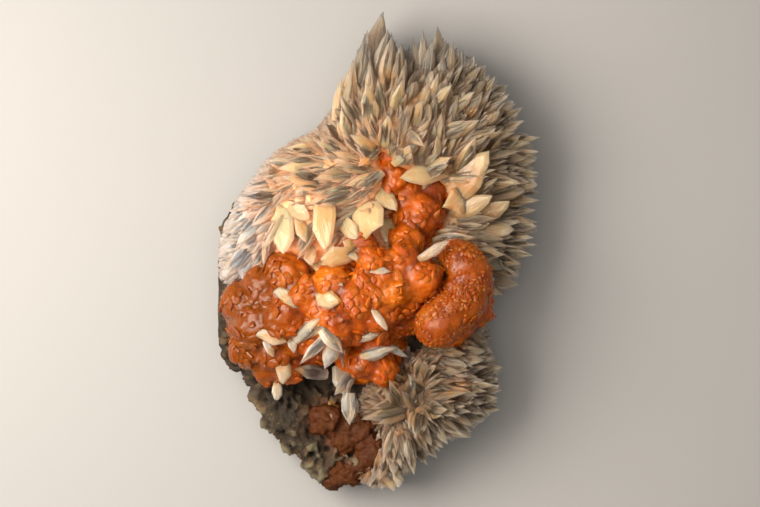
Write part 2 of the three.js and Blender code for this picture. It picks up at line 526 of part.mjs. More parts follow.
// The hooked lobe: a closed lathe spindle bent along its middle line.
function lobeSolid(grow = 0) {
  const middle = new THREE.CatmullRomCurve3(LOBE.map(([x, y, z]) => new THREE.Vector3(x, y, z)));
  const profile = [];
  for (let i = 0; i <= LOBE_RINGS; i++) {
    const angle = (i / LOBE_RINGS) * Math.PI;
    profile.push(new THREE.Vector2(Math.max(0, Math.sin(angle)), -Math.cos(angle)));
  }
  const spindle = new THREE.LatheGeometry(profile, LOBE_SIDES);
  const at = spindle.getAttribute("position");
  for (let k = 0; k < at.count; k++) {
    const [a, up, b] = [at.getX(k), at.getY(k), at.getZ(k)];
    const share = (Math.asin(THREE.MathUtils.clamp(up, -1, 1)) / Math.PI) + 0.5;
    const p = middle.getPoint(share);
    const ahead = middle.getTangent(share);
    const side = new THREE.Vector3(0, 0, 1).cross(ahead).normalize();
    const above = side.clone().cross(ahead);
    const fromEnd = Math.min(1, share / LOBE_CAP, (1 - share) / LOBE_CAP);
    const swell = Math.sqrt(Math.max(0, 1 - (1 - fromEnd) ** 2));
    const spot = Math.hypot(a, b) || 1;
    const bumps = 1 + 0.06 * uneven(p.x + 3 * a, p.y + 3 * b, 4 * b, 1.6);
    const radius = swell * (lobeRadius(share) * bumps + grow);
    const out = side.multiplyScalar((a / spot) * radius).addScaledVector(above, (b / spot) * radius);
    const end = share < 0.5 ? -grow : grow;
    const q = p.add(out).addScaledVector(ahead, swell < 1 ? end : 0);
    at.setXYZ(k, q.x, q.y, q.z);
  }
  return solidOf(spindle);
}

function lobeRadius(share) {
  const at = share * (LOBE.length - 1);
  const i = Math.min(LOBE.length - 2, Math.floor(at));
  return LOBE[i][3] + (LOBE[i + 1][3] - LOBE[i][3]) * (at - i);
}

function upperSolid(grow = 0) {
  const ground = (x, y) => bedHeight(UPPER, x, y) - 0.4;
  const overOrange = (x, y) => Math.max(ground(x, y), orangeHeight(x, y));
  return joined([
    shapedSphere(UPPER.facets, (bearing, polar) => bedPoint(UPPER, bearing, polar, grow)),
    ...placedBlades(SPIRE, ground, { seed: 11, rings: FULL_RINGS, grow }),
    ...placedBlades(UPPER_RIM, ground, { seed: 13, grow }),
    ...placedBlades(UPPER_FACE, overOrange, { seed: 17, grow }),
    ...filledBlades(UPPER, UPPER_LEAN, UPPER_FILL, { seed: 23, grow }),
    ...sideBlades(UPPER, -35, 112, { seed: 31, grow }),
  ]);
}

function lowerSolid(grow = 0) {
  const ground = (x, y) => bedHeight(LOWER, x, y) - 0.4;
  return joined([
    shapedSphere(LOWER.facets, (bearing, polar) => bedPoint(LOWER, bearing, polar, grow)),
    ...placedBlades([...LOWER_RIM, ...LOWER_FACE], ground, { seed: 41, grow }),
    ...filledBlades(LOWER, LOWER_LEAN, LOWER_FILL, { seed: 47, grow }),
    ...sideBlades(LOWER, -110, 20, { seed: 59, grow }),
  ]);
}

function perchedSolid(blades, seed, grow = 0) {
  const ground = (x, y) => Math.max(orangeHeight(x, y), 24) - 0.2;
  return joined(placedBlades(blades, ground, { seed, rings: FULL_RINGS, grow }));
}

// Each growth is cut back from the ones it grew on, and the perched blades sit in sockets in the rest.
const rock = rockSolid();
const rockCutter = rockSolid(GAP);
const perched = Object.entries(PERCHED).map(([name, blades], i) => ({ name, blades, seed: 70 + i }));
const sockets = joined(perched.map(({ blades, seed }) => perchedSolid(blades, seed, GAP)));
const orangeCutter = joined([rockCutter, orangeSolid(GAP)]);
const lobeCutter = joined([orangeCutter, lobeSolid(GAP)]);
const lowerCutter = joined([lobeCutter, lowerSolid(GAP)]);

const orange = largest(orangeSolid().subtract(joined([rockCutter, sockets])));
const lobe = largest(lobeSolid().subtract(joined([orangeCutter, sockets])));
const lower = largest(lowerSolid().subtract(joined([lobeCutter, sockets])));
const upper = largest(upperSolid().subtract(joined([lowerCutter, sockets])));
const orangeFloor = largest(floorSolid().subtract(joined([lowerCutter, upperSolid(GAP), sockets])));

const PALE = { color: 0xd8c0a4, roughness: 0.3, metalness: 0 };
const ORANGE = { color: 0xc8590f, roughness: 0.35, metalness: 0 };
const STONE = { color: 0x6b6353, roughness: 0.95, metalness: 0 };

function named(name, solid, look) {
  const { vertProperties, triVerts, numProp } = solid.getMesh();
  const positions = new Float32Array((vertProperties.length / numProp) * 3);
  for (let i = 0; i < positions.length / 3; i++) {
    positions.set(vertProperties.subarray(i * numProp, i * numProp + 3), i * 3);
  }
  const geometry = new THREE.BufferGeometry()
    .setAttribute("position", new THREE.BufferAttribute(positions, 3))
    .setIndex(new THREE.BufferAttribute(triVerts, 1));
  const mesh = new THREE.Mesh(geometry, new THREE.MeshStandardMaterial(look));
  mesh.name = name;
  return mesh;
}

const specimen = new THREE.Group();
specimen.add(named("matrix_rock", rock, STONE));
specimen.add(named("orange_mass", orange, ORANGE));
specimen.add(named("orange_lobe", lobe, ORANGE));
specimen.add(named("upper_crystal_crust", upper, PALE));
specimen.add(named("lower_crystal_crust", lower, PALE));
specimen.add(named("orange_floor", orangeFloor, ORANGE));
for (const { name, blades, seed } of perched) {
  const leaf = largest(perchedSolid(blades, seed).subtract(rockCutter));
  specimen.add(named(`perched_${name}`, leaf, PALE));
}

export default specimen;
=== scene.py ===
import json
import math

import bpy
import numpy as np
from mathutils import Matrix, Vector
from mathutils.bvhtree import BVHTree

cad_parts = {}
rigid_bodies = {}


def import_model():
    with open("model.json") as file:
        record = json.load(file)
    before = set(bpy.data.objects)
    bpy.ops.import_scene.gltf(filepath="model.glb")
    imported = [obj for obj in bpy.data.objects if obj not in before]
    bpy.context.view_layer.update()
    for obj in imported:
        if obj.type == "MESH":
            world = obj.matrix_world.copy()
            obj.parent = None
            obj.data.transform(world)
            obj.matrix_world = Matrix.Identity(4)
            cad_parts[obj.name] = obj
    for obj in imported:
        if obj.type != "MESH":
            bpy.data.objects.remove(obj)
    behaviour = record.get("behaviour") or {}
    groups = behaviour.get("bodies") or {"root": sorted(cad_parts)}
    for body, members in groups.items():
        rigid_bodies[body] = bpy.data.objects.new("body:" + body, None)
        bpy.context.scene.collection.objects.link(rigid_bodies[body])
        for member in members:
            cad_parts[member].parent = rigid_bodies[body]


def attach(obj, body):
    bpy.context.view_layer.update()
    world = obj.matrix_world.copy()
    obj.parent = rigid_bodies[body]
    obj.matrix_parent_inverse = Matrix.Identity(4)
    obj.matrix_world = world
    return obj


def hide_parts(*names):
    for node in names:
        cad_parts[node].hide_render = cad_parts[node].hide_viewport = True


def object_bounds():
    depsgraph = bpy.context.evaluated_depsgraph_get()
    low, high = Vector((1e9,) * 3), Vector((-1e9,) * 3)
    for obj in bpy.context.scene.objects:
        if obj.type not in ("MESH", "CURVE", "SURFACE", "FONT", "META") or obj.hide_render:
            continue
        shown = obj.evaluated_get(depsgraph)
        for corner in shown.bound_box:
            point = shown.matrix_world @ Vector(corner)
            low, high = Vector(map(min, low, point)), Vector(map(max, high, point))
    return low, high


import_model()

# A colemanite hand specimen lying on its rough back: pale bladed crystal crusts and rounded orange growths on
# porous rock. Lengths are in millimetres and become metres as each mesh is made. +Z is up, +Y is its length.

MM = 0.001
CAD_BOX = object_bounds()

# Heights: a level, hills on it as (x, y, how wide, how high), and its waves' height, width and shift.
ROCK_TOP = (21.5, [(-30, -55, 9, 2.5), (-16, -55, 6.5, -7), (-19, -42, 7, -6), (-48, -36, 6, -7)], 1.3, 5)
ROCK_UNDER = (5.5, [(-5, -3, 34, -8.5)], 2.4, 8, (9, -4))
UPPER_TOP = (
    36.5, [(0, 34, 16, 4), (13, 14, 9, -9), (-24, 14, 9, 3), (36, 10, 12, -4), (0, 64, 9, -8)], 1.2, 4.2,
)
UPPER_UNDER = (7, [], 0, 1)
LOWER_TOP = (31, [(8, -46, 9, 3), (2, -72, 8, -5)], 1.1, 3.8)
LOWER_UNDER = (7.5, [], 0, 1)

# Outlines seen from above, anticlockwise from the right, as (x, y).
ROCK_OUTLINE = [
    (39, 7), (39, 24), (36, 41), (27, 52), (14, 60), (1, 62), (-8.5, 56), (-14.5, 47), (-20.5, 39.5),
    (-28, 36.7), (-36.3, 30.7), (-43, 23.5), (-47.8, 16.5), (-51, 9), (-53.4, -1), (-53.2, -11),
    (-53.2, -19), (-54, -28), (-52.5, -35), (-48.5, -40), (-45, -43), (-42, -48), (-38.7, -55),
    (-35.5, -62.5), (-33.3, -67), (-29, -72), (-24, -76.7), (-16, -78.8), (-9, -78.2), (-2, -76),
    (5, -70.5), (12, -63.5), (22, -56), (29.5, -49), (33, -38), (34.5, -24), (36.5, -9),
]
UPPER_OUTLINE = [
    (42.5, 7.5), (44, 17.5), (44, 27.5), (42.5, 37.5), (39, 46.5), (33.5, 54.5), (26, 62), (18, 65),
    (11, 62), (6.5, 63.5), (2.7, 68), (-2.5, 68), (-6.5, 63.5), (-9, 56.5), (-13, 48), (-19.3, 39.7),
    (-27, 36.5), (-35.3, 30.7), (-42, 22.7), (-46.3, 16.3), (-49.7, 9), (-51.8, 0.5), (-51.5, -7.5),
    (-47.5, -12.5), (-38.5, -15), (-26, -16), (-9, -19), (7, -21), (22, -21), (31, -19), (37, -12.5),
    (40.5, -3),
]
LOWER_OUTLINE = [
    (35, -25.5), (31, -23.5), (21, -28), (11.5, -33.5), (5.5, -40), (-2, -44), (-6, -48), (-5.5, -53.5),
    (-1, -57.5), (2, -62), (0, -66.5), (-3.5, -71.5), (-5, -75.5), (0.5, -76.5), (5.5, -75), (8, -71),
    (11, -67.5), (15, -64), (18, -60), (24.5, -57.5), (30, -53.5), (34.5, -49), (35.5, -43), (34.5, -37),
    (36, -31),
]

# How far the tips of the blades reach, seen from above.
UPPER_TIPS = [
    (41.6, -14.4), (47.2, -11.2), (48, -4), (51.6, -1.2), (53.8, 2.3), (53.4, 10), (54.2, 17.2),
    (53.8, 26.6), (53.8, 33.6), (54.3, 38.3), (48.8, 45), (44.5, 52), (43, 56), (36, 62.6), (28.4, 67.2),
    (24.8, 70), (19.8, 75.2), (14.8, 73.8), (9, 68), (4.6, 71.6), (1.6, 79.9), (-3.4, 74), (-8, 63.6),
    (-12, 55), (-15.5, 46.5), (-20.5, 39.5), (-28, 36.7), (-36.3, 30.7), (-43, 23.5), (-47.8, 16.5),
    (-51, 9), (-53, -1), (-52.4, -9), (-46, -13.5), (-38, -8), (-31, -3), (-24, -3), (-17.6, -1), (-4, 3),
    (2, 4), (9, 8), (22, -6), (31, -12), (36, -15),
]
LOWER_TIPS = [
    (40, -36), (41.8, -38.2), (40.5, -42), (41.4, -46), (40, -48.6), (41, -52.8), (36, -56), (32, -60),
    (30.8, -61.8), (22, -65), (19.8, -68.8), (16.6, -71.2), (12, -74.2), (9, -76.4), (5.6, -80),
    (-2, -79.4), (-9, -76), (-6, -71), (-3, -66), (-2, -58), (-6, -54), (-7, -48), (-3, -42), (5, -38),
    (12, -34), (22, -30), (31, -26), (36, -28),
]

# Broken faces of the rock: the way each faces, and how far it is from the middle of the rock.
BREAKS = [
    (-1, -0.2, -0.75, 44), (-0.55, 1, -0.5, 45), (0.45, 1, -0.7, 57), (1, 0.25, -0.65, 38),
    (0.8, -0.7, -0.6, 47), (-0.35, -1, -0.45, 63.5), (-0.9, -0.9, 0.25, 55), (-1, 0.35, 0.5, 43),
]

# Orange growths as (x, y, z, radius), and how much flatter than round they are.
ORANGE_FLATTEN = 0.92
ORANGE_LUMPS = [
    (-45.4, -17, 26, 7), (-38, -12.5, 29, 7.6), (-30.4, -7.6, 32, 7.8), (-40, -24.5, 30.5, 8),
    (-31, -22, 34, 8.2), (-43, -32, 23.5, 7), (-34.5, -32.5, 29, 6.8), (-36.4, -39, 22.5, 5.4),
    (-29.8, -38.6, 26.5, 5.2), (-23.6, -15, 35, 7.6), (-22, -28, 33, 6.2), (-13.7, -23.6, 38.5, 7.4),
    (-14.6, -11.6, 39, 7.4), (-7.4, -16.4, 41.5, 7.6), (-1.4, -3.4, 42, 5.2), (5.4, -13.4, 42.6, 5.4),
    (0.2, -20.8, 40.4, 5.8), (8.4, -2.6, 41, 5.4), (14.4, -9, 40, 7.2), (9.8, -17, 38, 4.8),
    (-6, 1.6, 37, 6), (13.2, 12.4, 27.5, 9.2), (10, 4, 33, 5.8), (17, 20, 26, 6.4), (6, 23.6, 31, 5.4),
    (2.4, 30.6, 32, 4.2), (-5.4, -36.6, 32, 5.4), (1.6, -39.2, 31, 5.2), (-1.6, -29.6, 32, 6),
    (32.4, -19.4, 26, 5.6), (25, -25, 28, 6),
]
ORANGE_CORES = [  # (x, y, z, radius across X, radius along Y, height)
    (-30, -22, 20, 21, 18, 15), (0, -14, 24, 26, 15, 16), (9, 7, 23, 12, 25, 9), (-3, -32, 20, 13, 12, 11),
    (24, -17, 22, 14, 11, 10),
]
FLOOR_LUMPS = [
    (-16.5, -56, 15, 6.4), (-11.5, -62, 15.5, 5.6), (-5, -60, 17, 5), (0, -65.5, 18.5, 4.6),
    (-3.6, -70.5, 18, 4.6), (-9.6, -73.6, 16.5, 4.4), (-15, -75.4, 13.6, 4),
]
LOBE = [  # (x, y, z, radius) along the middle of the hooked lobe, from its upper end
    (19.6, -0.6, 36, 4.4), (26.6, -2.4, 37.5, 6.6), (30.4, -8.8, 38.5, 7.6), (27.4, -16.4, 40, 7.8),
    (20.6, -23, 41, 7.8), (14, -29.2, 40, 7.2),
]
LOBE_CAP = 0.17  # how much of the lobe's length each round end takes

# The way the blades lean: (x, y, bearing, tilt) in degrees, blended by distance.
UPPER_LEAN = [
    (0, 66, 92, 8), (17, 64, 72, 11), (34, 52, 42, 11), (43, 38, 18, 8), (45, 22, 5, 7), (43, 5, -10, 7),
    (38, -8, -30, 8), (28, 20, 15, 20), (18, 44, 60, 19), (-2, 46, 100, 20), (-18, 34, 150, 14),
    (-34, 26, 170, 11), (-46, 8, 200, 11), (-26, 16, 215, 17), (-18, 6, 245, 18), (-36, 2, 235, 17),
    (-2, 22, 205, 21),
]
LOWER_LEAN = [
    (36, -40, 8, 8), (35, -50, -14, 7), (26, -58, -46, 8), (16, -64, -58, 8), (6, -74, -66, 8),
    (-4, -52, 178, 24), (10, -46, 120, 30), (26, -42, 20, 26), (30, -30, -20, 12), (-4, -74, 200, 10),
]

# Blades that stand out by their place: (root x, root y, tip x, tip y, width, tilt).
SPIRE = [
    (-3.2, 56, 1.6, 79.9, 11.4, 5), (-8, 50, -3.4, 73.6, 9, 8), (-11.6, 43, -8, 63.6, 8, 10),
    (2.6, 54, 4.6, 71.6, 7.4, 12), (6, 53, 7.6, 69.4, 6, 10),
]
UPPER_RIM = [
    (12.2, 58, 12, 71.6, 4.2, 10), (15.6, 58.5, 14.8, 73.8, 4.8, 8), (20, 60, 19.8, 75.2, 7, 6),
    (22.2, 57, 24.8, 70, 5.6, 12), (26.6, 55.5, 28.4, 67.2, 4.6, 8), (30, 54, 32, 65.8, 4.2, 12),
    (32, 53, 36, 62.6, 4.2, 6), (34, 50.6, 39.2, 58.6, 4.2, 12), (35.4, 52.2, 44, 56, 4, 8),
    (34.6, 46.6, 43.2, 51.2, 4.2, 16), (38.8, 42.2, 48.2, 48.2, 4.8, 10), (39.6, 40, 48.8, 43.8, 4.2, 18),
    (42, 36.6, 54.3, 38.3, 4, 8), (42, 32.2, 53.8, 33.6, 4.8, 14), (42.2, 29, 53, 30.6, 4.4, 4),
    (43, 25.6, 53.8, 26.6, 4.2, 12), (43, 20.6, 51.8, 21.6, 4.8, 20), (43, 17.2, 54.2, 17.2, 3.6, 6),
    (43, 13.2, 53, 14, 4.2, 14), (42, 10, 53.4, 10, 4.8, 8), (40.6, 5.6, 52.2, 4.6, 4.4, 16),
    (40.4, 3, 53.8, 2.3, 3, 4), (39, 0.6, 51.6, -1.2, 4.8, 12), (37.6, -2, 48, -4, 4.8, 8),
    (36.6, -5.2, 46.4, -8, 4.4, 14), (36, -8, 47.2, -11.2, 4.2, 6), (34, -11, 41.6, -14.4, 4.4, 10),
]
UPPER_FACE = [
    (24, 17.6, 36, 32.6, 10.4, 21), (30.6, 19, 21.8, 15, 8.6, 24), (25.6, 12.2, 38.2, 18.8, 6.6, 24),
    (30.6, 10, 44.2, 17.2, 5.8, 18), (20.6, 37.4, 33.6, 43.4, 6.6, 25), (17.4, 48, 24.6, 55.4, 5.6, 24),
    (20.6, 27.4, 19.4, 39, 5, 28), (27.4, 29, 32.4, 38, 6.8, 29), (36.6, 34, 40.8, 40.8, 5.6, 24),
    (5.6, 47, 8, 56.6, 6.4, 28), (-2.6, 44, -3.6, 55.6, 6.8, 25), (-9.4, 38, -12, 48, 6, 24),
    (10.8, 42, 14.6, 50, 6, 31), (2.6, 36.6, 3.4, 45, 5.6, 35), (-14, 31, -19, 38, 5.6, 27),
    (29, 46, 34.6, 52, 5, 24), (-17.6, 17.4, -17.6, 0.8, 8.2, 15), (-28.4, 14.6, -21.8, 10.8, 5, 21),
    (-31.6, 13.4, -31.2, -1.4, 6.8, 14), (-26, 10, -23.6, 3, 4.4, 18), (-36.6, 5.6, -38, -5.4, 3.2, 13),
    (-44.4, -1, -42.8, -12.6, 7.4, 11), (-40, 10, -47, 2, 5.4, 21), (-36, 16, -42, 20, 5, 18),
    (-3, 15.6, -4, 3.8, 9.4, 11), (3.6, 10, 3.2, 2.4, 6.2, 10), (0.4, 19.4, 6, 13.8, 5.6, 18),
    (-11, 10, -6.8, 4, 5.2, 13), (-9.6, 7.4, -16, 6.8, 3.8, 17), (22, 27, 8, 24.6, 6.8, 13),
    (17.6, 25.6, 14.6, 20.4, 4.2, 8), (19.8, 28, 12, 31, 3.4, 15), (9.6, 39.4, 15.6, 34.4, 4.4, 28),
    (-1.6, 33, -6.6, 28, 5, 21), (6.6, 30, 11.6, 33.6, 4.6, 25), (0, 25, -5.6, 20, 4.6, 24),
    (-9, -0.6, -19.6, -2.6, 6.6, 17), (-19.6, -4, -11.6, -11, 6.6, 14), (-9.6, 2.6, -6.8, -3.4, 4.2, 14),
    (-22.6, 1, -21.8, -5, 4.2, 15),
]
LOWER_RIM = [
    (32.6, -39.6, 41.8, -38.2, 4.8, 8), (32, -43, 40.2, -42, 3.6, 14), (32, -45.4, 41.4, -46, 4.2, 6),
    (32, -48.6, 40, -48.6, 4, 14), (31.8, -51, 41, -52.8, 4.8, 8), (30, -52, 35.6, -56.2, 4.2, 14),
    (26, -55, 31.2, -62.2, 3.6, 8), (19, -58.4, 30.8, -61.8, 4.2, 14), (15.6, -60, 21.8, -65.2, 4.2, 12),
    (14, -62.6, 19.8, -68.8, 4.2, 6), (13, -64.6, 16.6, -71.2, 3.6, 14), (9.8, -62.6, 12, -74.2, 4.8, 8),
    (3.6, -71, 9, -76.4, 4.2, 14), (2, -72.6, 5.6, -80, 6.6, 6), (0, -75, -2, -79.4, 4.2, 12),
    (-3, -76, -12, -75.4, 4.2, 8),
]
LOWER_FACE = [
    (8, -52, -5.8, -55.4, 8.4, 16), (2.4, -59, 1.6, -64.2, 4.4, 20), (9, -47.6, 11.4, -40, 6.2, 34),
    (27.4, -45.4, 15.4, -44, 5.4, 24), (-4.2, -50, -3.4, -42.8, 3.8, 30), (0, -48.6, 2.6, -43.6, 4.2, 34),
    (20, -50, 26, -55, 6.6, 34), (14, -54, 12, -62, 6.4, 30), (27, -49, 33, -46, 6, 34),
    (6, -66, 8, -72, 5.6, 26), (26, -34, 31.4, -38.4, 5.6, 30), (16.6, -38, 21, -33.6, 5, 28),
]

# Blades lying on the orange growths, each by itself or grown together in a small cluster.
PERCHED = {
    "jagged_leaf": [(-32, -13.4, -25.6, -18.8, 4.4, 8)],
    "round_plate": [(-18.8, -15.6, -12, -15.8, 5.8, 4)],
    "lying_leaf": [(-38.4, -26.8, -29.8, -29.8, 4.8, 4)],
    "forked_pair": [(-25.8, -27.8, -18.8, -21.4, 4.8, 10), (-21.8, -26.8, -17.4, -24.2, 2.8, 14)],
    "drop_plate": [(-31.4, -37.4, -31.4, -43.4, 5, -8)],
    "small_tooth": [(-36.8, -30, -34, -34.8, 2.6, 0)],
    "small_wedge": [(-28.4, -29.4, -27.6, -33.6, 2.8, 6)],
    "hanging_cluster": [
        (-17, -27, -11.4, -33.2, 5.4, 6), (-14.4, -30, -17.6, -38.6, 5.6, 10),
        (-17.2, -28.4, -25.8, -37, 4, 2), (-12, -31.4, -11.6, -38.8, 2.6, -6),
    ],
    "grey_blade": [(-18.8, -40.4, -27.8, -38.8, 5, 6)],
    "slim_leaf": [(-5.4, -28.8, 1.2, -26.2, 2.6, 6)],
    "upright_leaf": [(-0.8, -19.8, 3.2, -26, 2.8, 10)],
    "small_leaf": [(-0.8, -6.2, 4, -6.4, 2.6, 10)],
    "seed_blade": [(1.6, 1, 4, -3.6, 2.8, 12)],
    "long_leaf": [(13.6, -2.4, 23.8, 3.8, 3.2, 8)],
    "bent_leaf": [(-3.6, -34.4, 6, -31.4, 4.2, 10), (4, -31.6, 10.2, -35, 2.8, 8)],
    "brush": [
        (9.4, -33.4, 7.6, -40, 2.8, 20), (9.8, -33.6, 10, -40.2, 2.4, 30), (10, -34, 12.6, -39, 2.4, 14),
        (8.6, -34.6, 12.8, -33.8, 2.6, 20),
    ],
    "pocket_crystal": [(-12.6, -40, -10, -49, 6.4, 20), (-9, -41, -14.6, -47.6, 4.4, 30)],
    "floor_tooth": [(-15, -49.6, -15, -56.4, 3.8, 6)],
    "floor_plate": [(-9.4, -49.2, -9.4, -57.6, 6, 8)],
    "edge_tooth": [(-33.6, -44.8, -33.6, -49.6, 3.2, 8)],
}

# The ones among them that end in several points. The others are plates.
BUNDLED = (
    "hanging_cluster", "grey_blade", "brush", "pocket_crystal", "floor_plate", "bent_leaf", "forked_pair",
)

# Blades that fill the crusts, in the solids too: how many, how long and how wide. The blades down a
# crust's side stand so many millimetres apart at the radius given.
UPPER_FILL = {"count": 58, "length": (10, 15), "width": (4.6, 7.4), "reach": 0.93}
LOWER_FILL = {"count": 20, "length": (8, 12.5), "width": (4.2, 6.6), "reach": 0.92}
SIDE_FILL = {"step": 14, "radius": 45, "length": (7, 10), "width": (5, 7.5), "heights": (0.45, -0.4)}
STRAY = 0.34  # how far a filler leans away from the others
HIGHEST_TIP = 48.6
SHORTEST = 2.5
BROADEST_BLADE = 5.8  # broader ones are plates
NARROWEST_PLATE = 4.0  # in the part of the crust where plates are common
PLATY_BELOW = 34
SMALL_PLATES_BELOW = 16
PLATY_EAST_OF = -36
TRIAL_STEP = 0.5
STOUTEST = 0.75  # the most that a filler's width may be of its length
PLATE_LIFT = 0.7
PERCHED_LIFT = 0.3

# Finenesses.
ROCK_GRAIN = 0.6
ORANGE_GRAIN = 0.47
BED_GRAIN = 0.8

# The layers of small blades on a crust: how far apart and how long in millimetres, and how unruly.
BROAD_BLADES = {"spacing": 2.9, "size": (7.0, 13.5), "stray": 0.16}
SMALL_BLADES = {"spacing": 1.3, "size": (3.6, 8.0), "stray": 0.24}
NEEDLES = {"spacing": 1.05, "size": (2.6, 6.5), "stray": 0.34}
BLADE_LAYERS = (("broad", BROAD_BLADES), ("small", SMALL_BLADES), ("needle", NEEDLES))
SHEAF_SPREAD = 9.0

# The scales on the orange growths: how far apart, how large and how unruly. They grow in patches.
MASS_SCALES = {"spacing": 2.4, "size": (1.0, 2.7), "stray": 0.5}
LOBE_SCALES = {"spacing": 1.1, "size": (0.5, 1.2), "stray": 0.6}
PATCH_SIZE = 4.5
PATCH_EDGE = -0.05
BETWEEN_PATCHES = 0.15
FACES_DOWN = -0.35
SCALE_ROOM = 9.0

# Roughness of the surfaces in layers: (kind, how fine, how deep in millimetres).
ROCK_LAYERS = [("noise", 90, 9.0), ("blocks", 150, 2.6), ("noise", 300, 4.5), ("cells", 500, 1.5)]
ROCK_PITS = (260, 3.2)
CRUST_LAYERS = [("cells", 420, 1.6), ("noise", 900, 0.6)]
ORANGE_LAYERS = [("noise", 95, 2.6), ("cells", 240, 1.3), ("noise", 700, 0.3)]
CRUMBLY_LAYERS = [("noise", 110, 4.0), ("blocks", 210, 1.8), ("noise", 420, 3.0), ("cells", 700, 1.2)]

GROUND_SINK = 1.1  # how deep the crusts' ground lies under the solids'
BARE_BELOW = 8.5  # no small blades grow lower than this
FAN_LEAN = (0.30, 0.30, 0.08)  # how far the blades of a sheaf spread
SLANT_LEAN = (0.20, 0.20, 0.08)  # how far whole sheaves lean aside
STAIN_FADE = 1.6
# How fast the painted shade in the orange creases fades away from them, in millimetres.
CREASE_SHADE_FADE = 1.4

# Where the crusts are a low foggy mass with hardly any separate blades: (x, y, how wide).
CALM = [(-30, 27, 9), (-17, 31, 8), (-41, 14, 7), (12, 46, 9), (12, -51, 11), (4, -60, 6)]

# The pocket where the crust opens on the orange growths: (x, y, how wide, how much deeper).
POCKET = [(13, 13, 7, 5), (7, 24, 4.5, 4), (1, 30, 3, 3)]

# Orange stains on the crusts: (x, y, radius).
STAINS = [
    (25, 32.3, 1.5), (31.3, 46.3, 1.3), (37.7, 46.3, 1.3), (2.7, 58, 1.9), (28, -43.7, 2.1),
    (24, -47.7, 1.6), (14.7, -61.3, 1.2), (-38.3, 18.3, 1.4), (-43, 14.7, 1.2), (-34.3, 27.3, 1.2),
    (-34.7, 14.7, 1.3), (-36.7, 11.3, 1.2), (-21, 4, 2), (-23.7, 8, 1.5), (4, 25.7, 2.8), (-3.3, 29, 2.8),
    (8, 36.7, 2.2), (-0.3, 34, 2), (-1, 22.3, 1.8), (25.5, 9, 2), (24.5, 14.5, 1.8), (29.5, 22.5, 1.6),
]

# Colours of the crusts as pairs, for pale and dark blades. The tan, grey and brown pairs also hold painted
# shade, darker to the right, at the top and below, and the white pair holds painted light to the left.
PEACH = ((0.93, 0.52, 0.26), (0.82, 0.39, 0.165))
WHITE_AND_PAINTED_LIGHT = ((0.98, 0.90, 0.80), (0.94, 0.83, 0.71))
TAN_AND_PAINTED_SHADE = ((0.21, 0.104, 0.036), (0.17, 0.081, 0.027))
GREY_AND_PAINTED_SHADE = ((0.27, 0.147, 0.058), (0.23, 0.122, 0.047))
BROWN_AND_PAINTED_SHADE = ((0.13, 0.061, 0.025), (0.11, 0.051, 0.020))
CRUST_PARTS = {  # axis, where the part begins and where it is full in metres, its share, its colours
    "east": ("X", 0.002, 0.044, 0.95, TAN_AND_PAINTED_SHADE), "north": ("Y", 0.022, 0.066, 0.7, GREY_AND_PAINTED_SHADE),
    "south": ("Y", -0.022, -0.040, 0.8, BROWN_AND_PAINTED_SHADE), "west": ("X", -0.032, -0.047, 0.8, WHITE_AND_PAINTED_LIGHT),
}
BARE_TIP = (0.90, 0.60, 0.34)
BLADE_LINE = (0.40, 0.21, 0.09)
# Grey painted shade for the dim spire at the top.
SPIRE_PAINTED_SHADE = (0.20, 0.16, 0.12)
PERCHED_PINK = (0.76, 0.50, 0.35)
GLASS_WARMTH = (1.0, 0.94, 0.84)
GROUND_FIBRE = (0.34, 0.20, 0.10)
STAIN_ORANGE = (0.78, 0.20, 0.02)

# Colours of the orange growths: from dark to bright, and what lies over that.
ORANGE_STOPS = [(0.3, (0.24, 0.030, 0.001)), (0.5, (0.48, 0.086, 0.002)), (0.7, (0.68, 0.170, 0.005))]
ORANGE_CELL = (0.72, 0.20, 0.008)
ORANGE_GLOW = (0.80, 0.30, 0.04)
PALE_SCALE = (0.82, 0.27, 0.04)
DARK_SCALE = (0.30, 0.035, 0.002)
# Painted shade in the creases between the orange swellings.
ORANGE_CREASE_SHADE = (0.15, 0.020, 0.002)
ORANGE_LEFT = (0.17, 0.042, 0.001)
ORANGE_DEEP = (0.060, 0.017, 0.003)

# Colours of the rock: from dark to pale, and what lies over that.
ROCK_STOPS = [(0.3, (0.018, 0.010, 0.004)), (0.5, (0.032, 0.020, 0.009)), (0.7, (0.060, 0.043, 0.022))]
ROCK_CRUMB = (0.13, 0.100, 0.056)
ROCK_CRACK = (0.020, 0.014, 0.008)
ROCK_SPECK = (0.34, 0.27, 0.18)
RUST = (0.26, 0.12, 0.045)
ROCK_STAIN = (0.16, 0.045, 0.012)
# The dark colour of the pits is painted shade.
ROCK_PIT_SHADE = (0.014, 0.009, 0.005)
ROCK_LEDGE = (0.17, 0.145, 0.085)
FLOOR_GREYS = ((0.33, 0.33, 0.335), (0.37, 0.37, 0.37))

# The light: place and size in metres, power in watts, colour.
WARM = (1, 0.91, 0.80)
LIGHTS = {
    "key": ((-0.24, 0.04, 0.30), 0.30, 2.6, WARM),
    "fill": ((0.75, 0.35, 0.7), 0.8, 0.5, (1, 1, 1)),
    "top": ((-0.16, 0.06, 0.60), 0.80, 2.7, WARM),
}
LIT_POINT = (0, 0, 0.03)
SKY = (0.95, 0.88, 0.80, 1)
SKY_STRENGTH = 0.28


def jitter(i, k):
    """A repeatable number from -1 to 1 for item i and purpose k."""
    wave = math.sin(i * 12.9898 + k * 78.233) * 43758.5453
    return 2 * (wave - math.floor(wave)) - 1


def between(limits, share):
    low, high = limits
    return low + (high - low) * (0.5 + 0.5 * share)


def hill(x, y, x0, y0, wide, height):
    return height * np.exp(-((x - x0) ** 2 + (y - y0) ** 2) / (2 * wide * wide))


